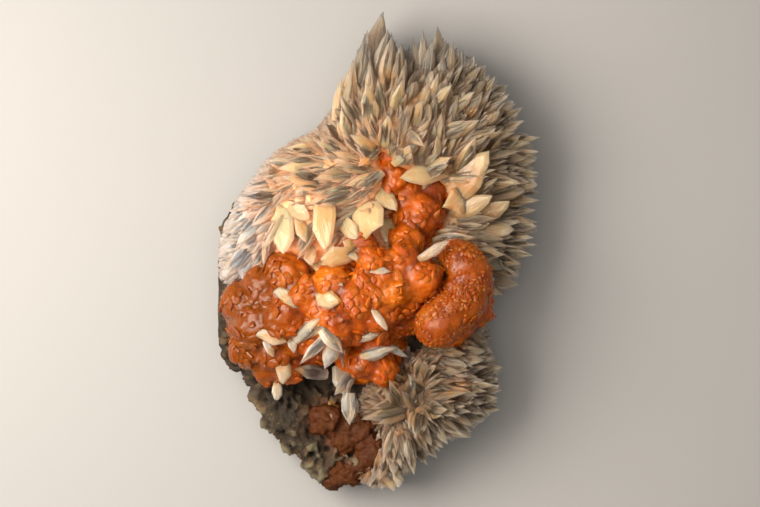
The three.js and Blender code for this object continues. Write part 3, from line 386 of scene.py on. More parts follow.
def uneven(x, y, z, scale):
    """Crossing waves from about -1 to 1."""
    a, b, c = x / scale, y / scale, z / scale
    return (
        0.5 * np.sin(a + 1.7 * np.sin(b * 0.8 + 1)) * np.cos(b * 1.1 + 0.6 * c)
        + 0.3 * np.sin(2.3 * b - 1.1 * a + 1.3 * c + 2)
        + 0.2 * np.cos(3.1 * a + 2.7 * b - 1.9 * c)
    )


def height_at(x, y, level, hills, depth, scale, shift=(0, 0)):
    for row in hills:
        level = level + hill(x, y, *row)
    return level + depth * uneven(x + shift[0], y + shift[1], 0, scale)


def unit(rows):
    """Rows of vectors brought to length 1."""
    return rows / np.linalg.norm(rows, axis=1)[:, None]


def level_side(way):
    """The level direction across a way, of length 1."""
    side = np.cross([0, 0, 1], way)
    return side / max(1e-6, np.linalg.norm(side))


class Outline:
    """A closed line round a centre, seen from above."""

    def __init__(self, outline, centre):
        self.outline = np.array(outline, float)
        self.centre = centre
        self.turns = np.linspace(-math.pi, math.pi, 1441)
        self.reaches = np.array([self.measure(a) for a in self.turns])

    def measure(self, bearing):
        start = self.outline - np.array(self.centre)
        edge = np.roll(start, -1, axis=0) - start
        way = np.array([math.cos(bearing), math.sin(bearing)])
        cross = way[0] * edge[:, 1] - way[1] * edge[:, 0]
        cross = np.where(np.abs(cross) < 1e-9, 1e-9, cross)
        along = (start[:, 0] * edge[:, 1] - start[:, 1] * edge[:, 0]) / cross
        share = (start[:, 0] * way[1] - start[:, 1] * way[0]) / cross
        return along[(along > 0) & (share >= 0) & (share < 1)].max()

    def reach(self, bearing):
        """The distance from the centre to the outline."""
        return np.interp((bearing + math.pi) % (2 * math.pi) - math.pi, self.turns, self.reaches)


class Bed(Outline):
    """A pillow under an outline: the rock or the ground of a crust."""

    def __init__(self, outline, tips, centre, rim, shoulder, top, under):
        super().__init__(outline, centre)
        self.tips = Outline(tips, centre)
        self.rim = rim
        self.shoulder = shoulder
        self.top = top
        self.under = under

    def point(self, bearing, polar):
        """A point of the surface. Polar is 0 at the top, half pi at the rim and pi underneath."""
        out = np.maximum(0, np.sin(polar)) ** self.shoulder
        up = np.abs(np.cos(polar)) ** self.shoulder
        x = self.centre[0] + out * self.reach(bearing) * np.cos(bearing)
        y = self.centre[1] + out * self.reach(bearing) * np.sin(bearing)
        peak = np.where(polar < math.pi / 2, height_at(x, y, *self.top), height_at(x, y, *self.under))
        return np.stack([x, y, self.rim + (peak - self.rim) * up], axis=-1)

    def height(self, x, y):
        bearing = math.atan2(y - self.centre[1], x - self.centre[0])
        out = min(1, math.hypot(x - self.centre[0], y - self.centre[1]) / self.reach(bearing))
        up = (1 - out ** (2 / self.shoulder)) ** (self.shoulder / 2)
        return float(self.rim + (height_at(x, y, *self.top) - self.rim) * up)


def is_plate(row):
    """Broad plates are seen near the middle and at the right, smaller ones only along the lower edge."""
    _, _, tip_x, tip_y, width, _ = row
    broad = width >= BROADEST_BLADE and tip_y < PLATY_BELOW
    return tip_x > PLATY_EAST_OF and (broad or (width >= NARROWEST_PLATE and tip_y < SMALL_PLATES_BELOW))


PLATES = [row for row in UPPER_FACE if is_plate(row)]
ROCK = Bed(ROCK_OUTLINE, ROCK_OUTLINE, (-7, -9), 10.5, 0.62, ROCK_TOP, ROCK_UNDER)
UPPER = Bed(UPPER_OUTLINE, UPPER_TIPS, (2, 22), 15, 0.86, UPPER_TOP, UPPER_UNDER)
LOWER = Bed(LOWER_OUTLINE, LOWER_TIPS, (17, -48), 14, 0.88, LOWER_TOP, LOWER_UNDER)


def heading(bearing, tilt):
    b, t = math.radians(bearing), math.radians(tilt)
    return np.array([math.cos(b) * math.cos(t), math.sin(b) * math.cos(t), math.sin(t)])


def lean_at(field, points):
    """The direction blades take at each point, as unit vectors."""
    lean = np.zeros((len(points), 3))
    for x, y, bearing, tilt in field:
        weight = 1 / ((points[:, 0] - x) ** 2 + (points[:, 1] - y) ** 2 + 12)
        lean += weight[:, None] * heading(bearing, tilt)
    return unit(lean)


def rounds(lumps):
    """Lumps with their radii across X, along Y and in height."""
    return [(x, y, z, r, r, r * ORANGE_FLATTEN) for x, y, z, r in lumps]


def orange_height(x, y):
    """The top of the orange growths, or minus infinity where there are none."""
    height = -math.inf
    for a, b, c, rx, ry, rz in rounds(ORANGE_LUMPS) + ORANGE_CORES:
        away = ((x - a) / rx) ** 2 + ((y - b) / ry) ** 2
        if away < 1:
            height = max(height, c + rz * math.sqrt(1 - away))
    return height


def lobe_line(shares):
    """Points and radii along the hooked lobe, by a Catmull-Rom curve through its points."""
    knots = np.array(LOBE, float)
    padded = np.vstack([2 * knots[0] - knots[1], knots, 2 * knots[-1] - knots[-2]])
    at = np.clip(shares, 0, 1) * (len(knots) - 1)
    i = np.minimum(at.astype(int), len(knots) - 2)
    t = (at - i)[:, None]
    a, b, c, d = (padded[i + k] for k in range(4))
    return 0.5 * (2 * b + (c - a) * t + (2 * a - 5 * b + 4 * c - d) * t**2 + (3 * b - a - 3 * c + d) * t**3)


LOBE_BEADS = lobe_line(np.linspace(0.09, 0.91, 15))


def orange_gap(points):
    """The distance of each point from the nearest orange growth, and from the second nearest."""
    def gap(ball):
        return np.linalg.norm(points - np.array(ball[:3]), axis=1) - ball[3]

    gaps = [gap(ball) for ball in ORANGE_LUMPS + FLOOR_LUMPS]
    gaps.append(np.min([gap(bead) for bead in LOBE_BEADS], axis=0))
    gaps = np.sort(gaps, axis=0)
    return gaps[0], gaps[1]


# Meshes

def linked(thing):
    """Puts a new object into the scene."""
    bpy.context.scene.collection.objects.link(thing)
    return thing


def mesh_object(name, points, faces):
    """A mesh object from points in millimetres."""
    mesh = bpy.data.meshes.new(name)
    mesh.from_pydata((np.asarray(points) * MM).tolist(), [], faces)
    mesh.update()
    return linked(bpy.data.objects.new(name, mesh))


def points_of(piece):
    """The piece's vertices in millimetres."""
    at = np.empty(len(piece.data.vertices) * 3, np.float32)
    piece.data.vertices.foreach_get("co", at)
    return at.reshape(-1, 3).astype(float) / MM


def set_points(piece, points):
    piece.data.vertices.foreach_set("co", (points * MM).astype(np.float32).ravel())
    piece.data.update()


def give(piece, name, values):
    """Stores a number or a vector for each vertex."""
    values = np.asarray(values, np.float32)
    kind, key = ("FLOAT_VECTOR", "vector") if values.ndim == 2 else ("FLOAT", "value")
    made = piece.data.attributes.get(name) or piece.data.attributes.new(name, kind, "POINT")
    made.data.foreach_set(key, values.ravel())


def baked(piece):
    """Turns a piece with modifiers into a plain mesh."""
    scene_now = bpy.context.evaluated_depsgraph_get()
    plain = bpy.data.meshes.new_from_object(piece.evaluated_get(scene_now))
    piece.modifiers.clear()
    piece.data = plain
    plain.name = piece.name
    return piece


def remeshed(piece, grain, soften=0):
    """Rebuilds a closed mesh with even facets of a size in millimetres, and softens its creases."""
    modifier = piece.modifiers.new("even facets", "REMESH")
    modifier.mode = "VOXEL"
    modifier.voxel_size = grain * MM
    modifier.use_smooth_shade = True
    if soften:
        smoothing = piece.modifiers.new("soft creases", "SMOOTH")
        smoothing.iterations = soften
        smoothing.factor = 0.5
    return baked(piece)


def polar_grid(around, rows):
    """Bearings and polars of a closed globe, with its faces. The two poles are single points."""
    polars = np.linspace(0, math.pi, rows + 1)[1:-1]
    bearings = np.arange(around) * 2 * math.pi / around
    polar, bearing = np.meshgrid(polars, bearings, indexing="ij")
    bearing = np.concatenate([[0], bearing.ravel(), [0]])
    polar = np.concatenate([[0], polar.ravel(), [math.pi]])
    faces = []
    for k in range(around):
        n = (k + 1) % around
        faces.append((0, 1 + k, 1 + n))
        for row in range(rows - 2):
            a, b = 1 + row * around, 1 + (row + 1) * around
            faces.append((a + k, b + k, b + n, a + n))
        last = 1 + (rows - 2) * around
        faces.append((last + k, len(bearing) - 1, last + n))
    return bearing, polar, faces


# Node trees

class Wire:
    """An output of a node that takes part in sums and products."""

    def __init__(self, graph, output):
        self.graph = graph
        self.output = output

    def combined(self, operation, *values):
        return self.graph.node("ShaderNodeMath", {"operation": operation}, dict(enumerate(values)))

    def __add__(self, other):
        return self.combined("ADD", self, other)

    def __sub__(self, other):
        return self.combined("SUBTRACT", self, other)

    def __rsub__(self, other):
        return self.combined("SUBTRACT", other, self)

    def __mul__(self, other):
        return self.combined("MULTIPLY", self, other)

    def clipped(self):
        return self.graph.node("ShaderNodeClamp", {}, {"Value": self})

    __radd__ = __add__
    __rmul__ = __mul__


class Graph:
    """Adds nodes to a material's or a geometry tree."""

    def __init__(self, tree):
        self.tree = tree

    def node(self, kind, settings=None, sockets=None, out=0):
        made = self.tree.nodes.new(kind)
        for name, value in (settings or {}).items():
            setattr(made, name, value)
        for name, value in (sockets or {}).items():
            if isinstance(value, Wire):
                self.tree.links.new(value.output, made.inputs[name])
            elif value is not None:
                made.inputs[name].default_value = value
        return Wire(self, made.outputs[out] if len(made.outputs) else None)

    def mix(self, share, first, second):
        """A blend of two colours."""
        first, second = (c if isinstance(c, Wire) else (*c, 1) for c in (first, second))
        return self.node("ShaderNodeMix", {"data_type": "RGBA"}, {0: share, 6: first, 7: second}, out=2)

    def ramp(self, share, stops):
        made = self.node("ShaderNodeValToRGB", {}, {0: share})
        ramp = made.output.node.color_ramp
        while len(ramp.elements) < len(stops):
            ramp.elements.new(0.5)
        for element, (place, colour) in zip(ramp.elements, stops):
            element.position = place
            element.color = (*colour, 1)
        return made

    def vector(self, operation, first, second, out=0):
        return self.node("ShaderNodeVectorMath", {"operation": operation}, {0: first, 1: second}, out=out)

    def scaled(self, vector, scale):
        return self.node("ShaderNodeVectorMath", {"operation": "SCALE"}, {0: vector, "Scale": scale})

    def stored(self, geometry, name, value, domain="POINT"):
        """Keeps a number under a name on the points or the instances of a geometry."""
        settings = {"data_type": "FLOAT", "domain": domain}
        sockets = {"Geometry": geometry, "Name": name, "Value": value}
        return self.node("GeometryNodeStoreNamedAttribute", settings, sockets)

    def fade(self, value, low, high):
        """0 at low, 1 at high, held outside them."""
        sockets = {"Value": value, "From Min": low, "From Max": high}
        return self.node("ShaderNodeMapRange", {"interpolation_type": "SMOOTHSTEP"}, sockets)

    def painted(self, colour, *coats):
        """Lays coats over a colour: (value, where the coat begins and where it is full, share, colour)."""
        for value, low, high, share, coat in coats:
            colour = self.mix(self.fade(value, low, high) * share, colour, coat)
        return colour

    def skin(self, sockets):
        return self.node("ShaderNodeBsdfPrincipled", {}, sockets)

    def noise(self, where, scale, detail=4, roughness=0.55):
        sockets = {"Vector": where, "Scale": scale, "Detail": detail, "Roughness": roughness}
        return self.node("ShaderNodeTexNoise", {}, sockets)

    def cells(self, where, scale, feature="F1", out="Distance"):
        sockets = {"Vector": where, "Scale": scale}
        return self.node("ShaderNodeTexVoronoi", {"feature": feature}, sockets, out=out)

    def attribute(self, name, out="Fac"):
        return self.node("ShaderNodeAttribute", {"attribute_name": name}, out=out)

    def axis(self, where, name):
        return self.node("ShaderNodeSeparateXYZ", {}, {0: where}, out=name)


def geometry_tree(name, inputs):
    """A geometry tree with a mesh input and named number inputs, and its Graph and input wires."""
    tree = bpy.data.node_groups.new(name, "GeometryNodeTree")
    tree.interface.new_socket(name="Geometry", in_out="INPUT", socket_type="NodeSocketGeometry")
    for label, kind in inputs:
        tree.interface.new_socket(name=label, in_out="INPUT", socket_type=kind)
    tree.interface.new_socket(name="Geometry", in_out="OUTPUT", socket_type="NodeSocketGeometry")
    graph = Graph(tree)
    entry = tree.nodes.new("NodeGroupInput")
    wires = {socket.name: Wire(graph, socket) for socket in entry.outputs if socket.name}
    return tree, graph, wires


def close_tree(graph, geometry, material):
    """Realizes the instances, sets the material and links the result to the tree's output."""
    real = graph.node("GeometryNodeRealizeInstances", {}, {"Geometry": geometry})
    painted = graph.node("GeometryNodeSetMaterial", {}, {"Geometry": real, "Material": material})
    graph.node("NodeGroupOutput", {}, {0: painted})


def apply_tree(piece, tree, values):
    """Runs a geometry tree on a piece and keeps the result as its plain mesh."""
    modifier = piece.modifiers.new(tree.name, "NODES")
    modifier.node_group = tree
    for item in tree.interface.items_tree:
        if item.in_out == "INPUT" and item.name in values:
            modifier[item.identifier] = values[item.name]
    return baked(piece)


def roughen(piece, material, layers, pits=None):
    """Pushes a surface in and out along its normal by layers, and keeps how far in "relief"."""
    tree, graph, wires = geometry_tree("roughen " + piece.name, [])
    where = graph.node("GeometryNodeInputPosition")
    normal = graph.node("GeometryNodeInputNormal")
    height = 0.0
    for kind, scale, depth in layers:
        if kind == "noise":
            layer = graph.noise(where, scale, 5) - 0.5
        elif kind == "blocks":
            cell = graph.cells(where, scale, out="Color")
            layer = graph.axis(cell, "X") - 0.5
        else:
            layer = 0.35 - graph.cells(where, scale, "SMOOTH_F1")
        height = layer * depth + height
    if pits:
        scale, depth = pits
        hollow = graph.fade(graph.cells(where, scale), 0.42, 0.12)
        some = graph.fade(graph.noise(where, scale * 0.25, 2), 0.40, 0.52)
        height = height - hollow * some * depth
    kept = graph.stored(wires["Geometry"], "relief", height)
    offset = graph.scaled(normal, height * MM)
    moved = graph.node("GeometryNodeSetPosition", {}, {"Geometry": kept, "Offset": offset})
    close_tree(graph, moved, material)
    apply_tree(piece, tree, {})


def growth_tree(name, material):
    """Grows small crystals from a collection over a surface, by its stored lean, size, room and cover."""
    numbers = ("Spacing", "Smallest", "Largest", "Stray", "Sheaf Share")
    inputs = [(label, "NodeSocketFloat") for label in numbers]
    inputs += [("Seed", "NodeSocketInt"), ("Crystals", "NodeSocketCollection")]
    tree, graph, wires = geometry_tree(name, inputs)

    def read(label, data_type="FLOAT"):
        return graph.node("GeometryNodeInputNamedAttribute", {"data_type": data_type}, {"Name": label})

    def chance(low, high, seed, data_type="FLOAT"):
        first = 2 if data_type == "FLOAT" else 0  # where the limits' sockets of this type begin
        sockets = {"Seed": wires["Seed"] + seed, first: low, first + 1: high}
        return graph.node("FunctionNodeRandomValue", {"data_type": data_type}, sockets, out=first // 2)

    spread = graph.node(
        "GeometryNodeDistributePointsOnFaces", {"distribute_method": "POISSON"},
        {"Mesh": wires["Geometry"], "Distance Min": wires["Spacing"], "Density Max": 3e6,
         "Density Factor": read("cover"), "Seed": wires["Seed"]},
    )
    lean = read("lean", "FLOAT_VECTOR")
    across = graph.vector("CROSS_PRODUCT", (0.0, 0.0, 1.0), lean)
    ahead = graph.node("FunctionNodeAlignRotationToVector", {"axis": "Z"}, {"Vector": lean})
    level = graph.node(
        "FunctionNodeAlignRotationToVector", {"axis": "X", "pivot_axis": "Z"},
        {"Rotation": ahead, "Vector": across},
    )
    low, high = (graph.scaled(limit, wires["Stray"]) for limit in ((-1.0, -1.0, -1.6), (1.0, 1.0, 1.6)))
    turn = chance(low, high, 7, "FLOAT_VECTOR")
    turned = graph.node(
        "FunctionNodeRotateRotation", {"rotation_space": "LOCAL"}, {"Rotation": level, "Rotate By": turn},
    )
    wanted = chance(wires["Smallest"], wires["Largest"], 13) * read("size")
    length = wanted.combined("MINIMUM", wanted, read("room"))
    width = wanted * 0.4 + length * 0.6
    broad = width * chance(0.75, 1.3, 17)
    scale = graph.node("ShaderNodeCombineXYZ", {}, {"X": broad, "Y": width, "Z": length})
    crystals = graph.node(
        "GeometryNodeCollectionInfo", {"transform_space": "ORIGINAL"},
        {"Collection": wires["Crystals"], "Separate Children": True, "Reset Children": True},
    )
    planted = graph.node(
        "GeometryNodeInstanceOnPoints", {},
        {"Points": spread, "Instance": crystals, "Pick Instance": True, "Rotation": turned, "Scale": scale},
    )
    tone = chance(0.0, 1.0, 19) * (1 - wires["Sheaf Share"]) + read("sheaf_tone") * wires["Sheaf Share"]
    close_tree(graph, graph.stored(planted, "tone", tone, "INSTANCE"), material)
    return tree


def grow_over(piece, tree, crystals, layer, sheaf_share, seed):
    """Turns a piece into the crystals that a growth tree grows over it."""
    smallest, largest = layer["size"]
    apply_tree(piece, tree, {
        "Spacing": layer["spacing"] * MM, "Smallest": smallest, "Largest": largest, "Stray": layer["stray"],
        "Sheaf Share": sheaf_share, "Seed": seed, "Crystals": crystals,
    })


# Crystals

# A blade's cross-section, and its widths at shares of its length.
CORNERS = [(1, 0), (0.55, 1), (-0.55, 1), (-1, 0), (-0.55, -1), (0.55, -1)]
LEAF_SHARES = [0.0, 0.2, 0.4, 0.56, 0.72, 0.86, 0.95]
LEAF_WIDTHS = [0.7, 0.92, 1.0, 0.97, 0.66, 0.34, 0.12]

# A plate's half rim as (share of its length, width), and its rings from top to bottom as (size, height).
PLATE_RIM = [(0.0, 0.62), (0.3, 0.97), (0.6, 1.0), (0.85, 0.5)]
PLATE_BEVEL = [(0.66, 0.5), (1.0, 0.1), (1.0, -0.1), (0.66, -0.5)]
PLATE_SINK = 1.6
PLATE_BOW = 0.03

# Small blades for the growth tree, of length 1: widths from the root to the tip, and the whole width.
LEAF_OUTLINES = [
    ((0.9, 1.0, 0.98, 0.36), 0.34), ((1.0, 1.0, 0.72, 0.24), 0.40), ((0.8, 0.96, 1.0, 0.42), 0.32),
    ((0.95, 1.0, 0.84, 0.28), 0.24), ((0.8, 0.95, 1.0, 0.48), 0.42), ((1.0, 0.84, 0.50, 0.16), 0.50),
    ((0.9, 1.0, 0.95, 0.30), 0.18), ((0.95, 1.0, 0.88, 0.34), 0.36),
]

# Rings of a scale's dome as (radius, height).
SCALE_RINGS = [(0.8, -0.3), (1.0, -0.08), (0.82, 0.08), (0.45, 0.17)]


def ring_faces(base, rings, sides):
    """The four-sided faces between rings of corners that follow each other."""
    faces = []
    for ring in range(rings - 1):
        a = base + ring * sides
        for k in range(sides):
            m = (k + 1) % sides
            faces.append((a + k, a + m, a + sides + m, a + sides + k))
    return faces


def blade_frame(root, tip, roll, sink):
    """A blade's sunk root and its length, and the ways ahead, to its side and off its flat face."""
    root, tip = np.asarray(root, float), np.asarray(tip, float)
    length = np.linalg.norm(tip - root)
    ahead = (tip - root) / length
    side = level_side(ahead)
    flat = np.cross(ahead, side)
    turned_side = math.cos(roll) * side + math.sin(roll) * flat
    turned_flat = math.cos(roll) * flat - math.sin(roll) * side
    return root - ahead * sink, length + sink, ahead, turned_side, turned_flat


class Sheaf:
    """Collects blades into one mesh, with their tones and their places along the blade."""

    def __init__(self, seed):
        self.luck = np.random.default_rng(seed)
        self.points, self.faces, self.along, self.tone, self.map = [], [], [], [], []
        self.count = 0

    def keep(self, rows, along, marks):
        """Takes in one blade's points, their shares of its length and their places on its map."""
        self.points.append(np.array(rows))
        self.map.append(marks)
        self.along.append(np.array(along))
        self.tone.append(np.full(len(rows), self.luck.random()))
        self.count += len(rows)

    def add(self, root, tip, width, roll=0.0, shares=LEAF_SHARES, widths=LEAF_WIDTHS, thickness=0.3,
            ragged=0.1, sink=2.2):
        """One blade: rows of six corners along its length, closed at the root and drawn to a point."""
        root, length, ahead, side, flat = blade_frame(root, tip, roll, sink)
        bend = self.luck.uniform(-0.05, 0.05) * length
        ridge = self.luck.uniform(-0.35, 0.35)
        rows, along, marks = [], [], []
        for share, wide in zip(shares, widths):
            left, right = wide * (1 + self.luck.uniform(-ragged, ragged, 2))
            thick = thickness * width / 2 * min(1, 2.6 * (1 - share)) * (0.75 + 0.25 * wide)
            middle = root + ahead * length * share + flat * bend * math.sin(math.pi * share)
            for s, f in CORNERS:
                reach = (right if s > 0 else left) * width / 2
                out = s * reach + (ridge * 0.5 * width / 2 * wide if f else 0)
                rows.append(middle + side * out + flat * f * thick)
                along.append(share)
                marks.append((0.5 + 0.5 * s, share * length / 10))
        slip = self.luck.uniform(-0.28, 0.28) * width * widths[-1]
        rows.append(root + ahead * length + side * slip)
        along.append(1.0)
        marks.append((0.5, length / 10))
        base, n = self.count, len(CORNERS)
        last, point = base + (len(shares) - 1) * n, base + len(rows) - 1
        self.faces.append(tuple(base + k for k in reversed(range(n))))
        self.faces += ring_faces(base, len(shares), n)
        self.faces += [(last + k, last + (k + 1) % n, point) for k in range(n)]
        self.keep(rows, along, marks)

    def add_bundle(self, root, tip, width, roll=0.0, blades=3, core=1.0, **form):
        """A blade with narrower ones grown along it, so that its end is jagged."""
        self.add(root, tip, width * core, roll, **form)
        root, way = np.asarray(root, float), np.asarray(tip, float) - root
        side = level_side(way)
        above = np.cross(way, side) / np.linalg.norm(way)
        for _ in range(blades):
            slip, lift, turn = self.luck.uniform(-1, 1, 3)
            back = self.luck.uniform(0, 0.25)
            start = root + way * back + (0.36 * slip * side + 0.07 * lift * above) * width
            reach = self.luck.uniform(0.62, 0.98) * (1 - 0.3 * abs(slip))
            end = root + way * reach + (0.44 * slip * side + (0.05 + 0.09 * lift) * above) * width
            self.add(start, end, width * self.luck.uniform(0.26, 0.5), roll + 0.35 * turn, **form)

    def add_plate(self, root, tip, width, roll=0.0, thickness=0.24):
        """One broad crystal with a broken outline, bevelled on both sides."""
        root, length, ahead, side, flat = blade_frame(root, tip, roll, PLATE_SINK)
        outline = PLATE_RIM + [(1.0, 0.0)] + [(share, -wide) for share, wide in reversed(PLATE_RIM)]
        n = len(outline)
        chip = 1 + self.luck.uniform(-0.22, 0.1, n)
        slip = self.luck.uniform(-0.07, 0.07, n)
        ridge = self.luck.uniform(-0.22, 0.22)
        rows, along = [], []
        for scale, lift in PLATE_BEVEL:
            for k, (share, wide) in enumerate(outline):
                here = 0.5 + (share - 0.5) * (scale * 0.5 + 0.5) + slip[k]
                across = (wide * chip[k] * scale + ridge * (1 - scale)) * width / 2
                rise = lift * thickness * width + PLATE_BOW * length * math.sin(math.pi * share)
                rows.append(root + ahead * length * here + side * across + flat * rise)
                along.append(share)
        base = self.count
        self.faces += ring_faces(base, len(PLATE_BEVEL), n)
        middle = root + ahead * length * 0.5 + side * ridge * width / 3
        for ring, lift in ((0, 0.62), (len(PLATE_BEVEL) - 1, -0.62)):
            rows.append(middle + flat * (lift * thickness * width + PLATE_BOW * length))
            along.append(0.5)
            centre = base + len(rows) - 1
            for k in range(n):
                a, m = base + ring * n + k, base + ring * n + (k + 1) % n
                self.faces.append((a, centre, m) if ring == 0 else (m, centre, a))
        marks = [(0.5 + 0.5 * outline[k % n][1], share * length / 10) for k, share in enumerate(along)]
        self.keep(rows, along, marks)

    def piece(self, name):
        made = mesh_object(name, np.concatenate(self.points), self.faces)
        give(made, "along", np.concatenate(self.along))
        give(made, "tone", np.concatenate(self.tone))
        layer = made.data.uv_layers.new(name="UVMap")
        corners = np.empty(len(made.data.loops), np.int64)
        made.data.loops.foreach_get("vertex_index", corners)
        layer.data.foreach_set("uv", np.concatenate(self.map)[corners].astype(np.float32).ravel())
        return made


def placed(sheaf, rows, ground, seed, blades=4, core=0.8, **form):
    """Blades given by root and tip as seen from above, standing on a ground."""
    for i, (rx, ry, tx, ty, width, tilt) in enumerate(rows):
        base = ground(rx, ry)
        rise = math.hypot(tx - rx, ty - ry) * math.tan(math.radians(tilt))
        tip = (tx, ty, min(HIGHEST_TIP, base + rise))
        sheaf.add_bundle((rx, ry, base), tip, width, 0.5 * jitter(i, seed), blades=blades, core=core, **form)


def room_for(bed, roots, leans, wanted):
    """How long blades can be before their tips pass the outline of the tips, or stand too high."""
    lengths = np.broadcast_to(np.asarray(wanted, float), len(roots)).copy()
    for _ in range(int(lengths.max() / TRIAL_STEP)):
        tip = roots + leans * lengths[:, None]
        away = tip[:, :2] - np.array(bed.centre)
        reach = bed.tips.reach(np.arctan2(away[:, 1], away[:, 0]))
        outside = (np.linalg.norm(away, axis=1) >= reach) | (tip[:, 2] >= HIGHEST_TIP)
        lengths = np.where(outside, np.maximum(lengths - TRIAL_STEP, SHORTEST), lengths)
    return lengths


def grow_blade(sheaf, bed, root, lean, fill, length_luck, width_luck, roll, **form):
    """One blade, as long and as wide as its luck gives and there is room for."""
    length = room_for(bed, root[None], lean[None], between(fill["length"], length_luck))[0]
    width = min(between(fill["width"], width_luck), STOUTEST * length)
    sheaf.add_bundle(root, root + lean * length, width, roll, **form)


def filled(sheaf, bed, field, fill, seed):
    """Blades spread over a bed in a sunflower pattern, each leaning as the field says."""
    for i in range(fill["count"]):
        bearing = i * math.pi * (3 - math.sqrt(5))
        out = math.sqrt((i + 0.5) / fill["count"]) * fill["reach"] * bed.reach(bearing)
        x = bed.centre[0] + out * math.cos(bearing)
        y = bed.centre[1] + out * math.sin(bearing)
        if orange_height(x, y) > bed.height(x, y):
            continue
        lean = lean_at(field, np.array([[x, y]]))[0]
        lean += STRAY * np.array([jitter(i, seed), jitter(i, seed + 1), 0.6 * jitter(i, seed + 2)])
        lean /= np.linalg.norm(lean)
        root = np.array([x, y, bed.height(x, y) - 0.6])
        grow_blade(sheaf, bed, root, lean, fill, jitter(i, seed + 3), jitter(i, seed + 4),
                   0.8 * jitter(i, seed + 5), blades=6, core=0.6)


def side_blades(sheaf, bed, start, end, seed):
    """Rows of blades round a bed's side, between two bearings in degrees."""
    step = math.degrees(SIDE_FILL["step"] / SIDE_FILL["radius"])
    for row, height in enumerate(SIDE_FILL["heights"]):
        for i, turn in enumerate(np.arange(start + row * step / 2, end, step)):
            bearing = math.radians(turn)
            root = bed.point(bearing, np.array(math.pi / 2 - height * 0.8))
            inward = 1 - 1.5 / bed.reach(bearing)
            root[:2] = np.array(bed.centre) + (root[:2] - np.array(bed.centre)) * inward
            lean = heading(turn + 16 * jitter(i, seed + row), height * 30 + 12 * jitter(i, seed + 2 + row))
            grow_blade(sheaf, bed, root, lean, SIDE_FILL, jitter(i, seed + 4 + row),
                       jitter(i, seed + 6 + row), 0.8 * jitter(i, seed + 8 + row), blades=5, core=0.7)


def move_to(group, piece):
    bpy.context.scene.collection.objects.unlink(piece)
    group.objects.link(piece)


def leaf_collection(name, shares, blades, slimness=1.0):
    """Unit blades of different outlines for the growth tree, in a collection that is removed at the end."""
    group = bpy.data.collections.new(name)
    for k, (widths, width) in enumerate(LEAF_OUTLINES):
        sheaf = Sheaf(200 + k)
        sheaf.add_bundle((0, 0, 0), (0, 0.0001, 1), width * slimness, blades=blades, shares=shares,
                         widths=widths[-len(shares):], thickness=0.22 / slimness, sink=0.22, ragged=0.16)
        move_to(group, sheaf.piece(f"{name}_{k}"))
    return group


def grain_collection():
    """Unit grains for the orange growths: thin domed scales, half sunk."""
    group = bpy.data.collections.new("orange grains")
    luck = np.random.default_rng(77)
    for k in range(7):
        sides = 7 + k % 3
        turns = np.arange(sides) * 2 * math.pi / sides + luck.uniform(-0.25, 0.25, sides)
        reach = 0.8 + 0.35 * luck.random(sides)
        points = []
        for radius, height in SCALE_RINGS:
            for turn, out in zip(turns, radius * reach):
                points.append((out * math.cos(turn), 0.75 * out * math.sin(turn), height))
        last = (len(SCALE_RINGS) - 1) * sides
        faces = [tuple(reversed(range(sides))), tuple(range(last, last + sides))]
        faces += ring_faces(0, len(SCALE_RINGS), sides)
        move_to(group, mesh_object(f"grain_{k}", points, faces))
    return group


# Materials

def new_material(name):
    made = bpy.data.materials.new(name)
    made.use_nodes = True
    made.node_tree.nodes.clear()
    graph = Graph(made.node_tree)
    where = graph.node("ShaderNodeTexCoord", out="Object")
    return made, graph, where


def end_material(graph, surface):
    graph.node("ShaderNodeOutputMaterial", {}, {"Surface": surface})


def bumped(graph, height, distance, strength=1.0, normal=None):
    sockets = {"Height": height, "Distance": distance * MM, "Strength": strength, "Normal": normal}
    return graph.node("ShaderNodeBump", {}, sockets)


def crust_colour(graph, where, tone):
    """Peach in the middle; whiter to the left, partly as painted light; tan to the right, grey at the top and
    brown below, each darkened as painted shade.
    """
    patch = (graph.noise(where, 45, 3) - 0.5) * 0.02
    colour = graph.mix(tone, *PEACH)
    parts = {}
    for part, (axis, low, high, share, pair) in CRUST_PARTS.items():
        parts[part] = graph.fade(graph.axis(where, axis) + patch, low, high)
        colour = graph.mix(parts[part] * share, colour, graph.mix(tone, *pair))
    return colour, parts["north"]


def stained(graph, where, colour):
    """Orange where the growths are near and where the crust is stained."""
    share = graph.attribute("stain") * graph.fade(graph.noise(where, 240, 4), 0.32, 0.62)
    return graph.mix((share * 0.9).clipped(), colour, STAIN_ORANGE)


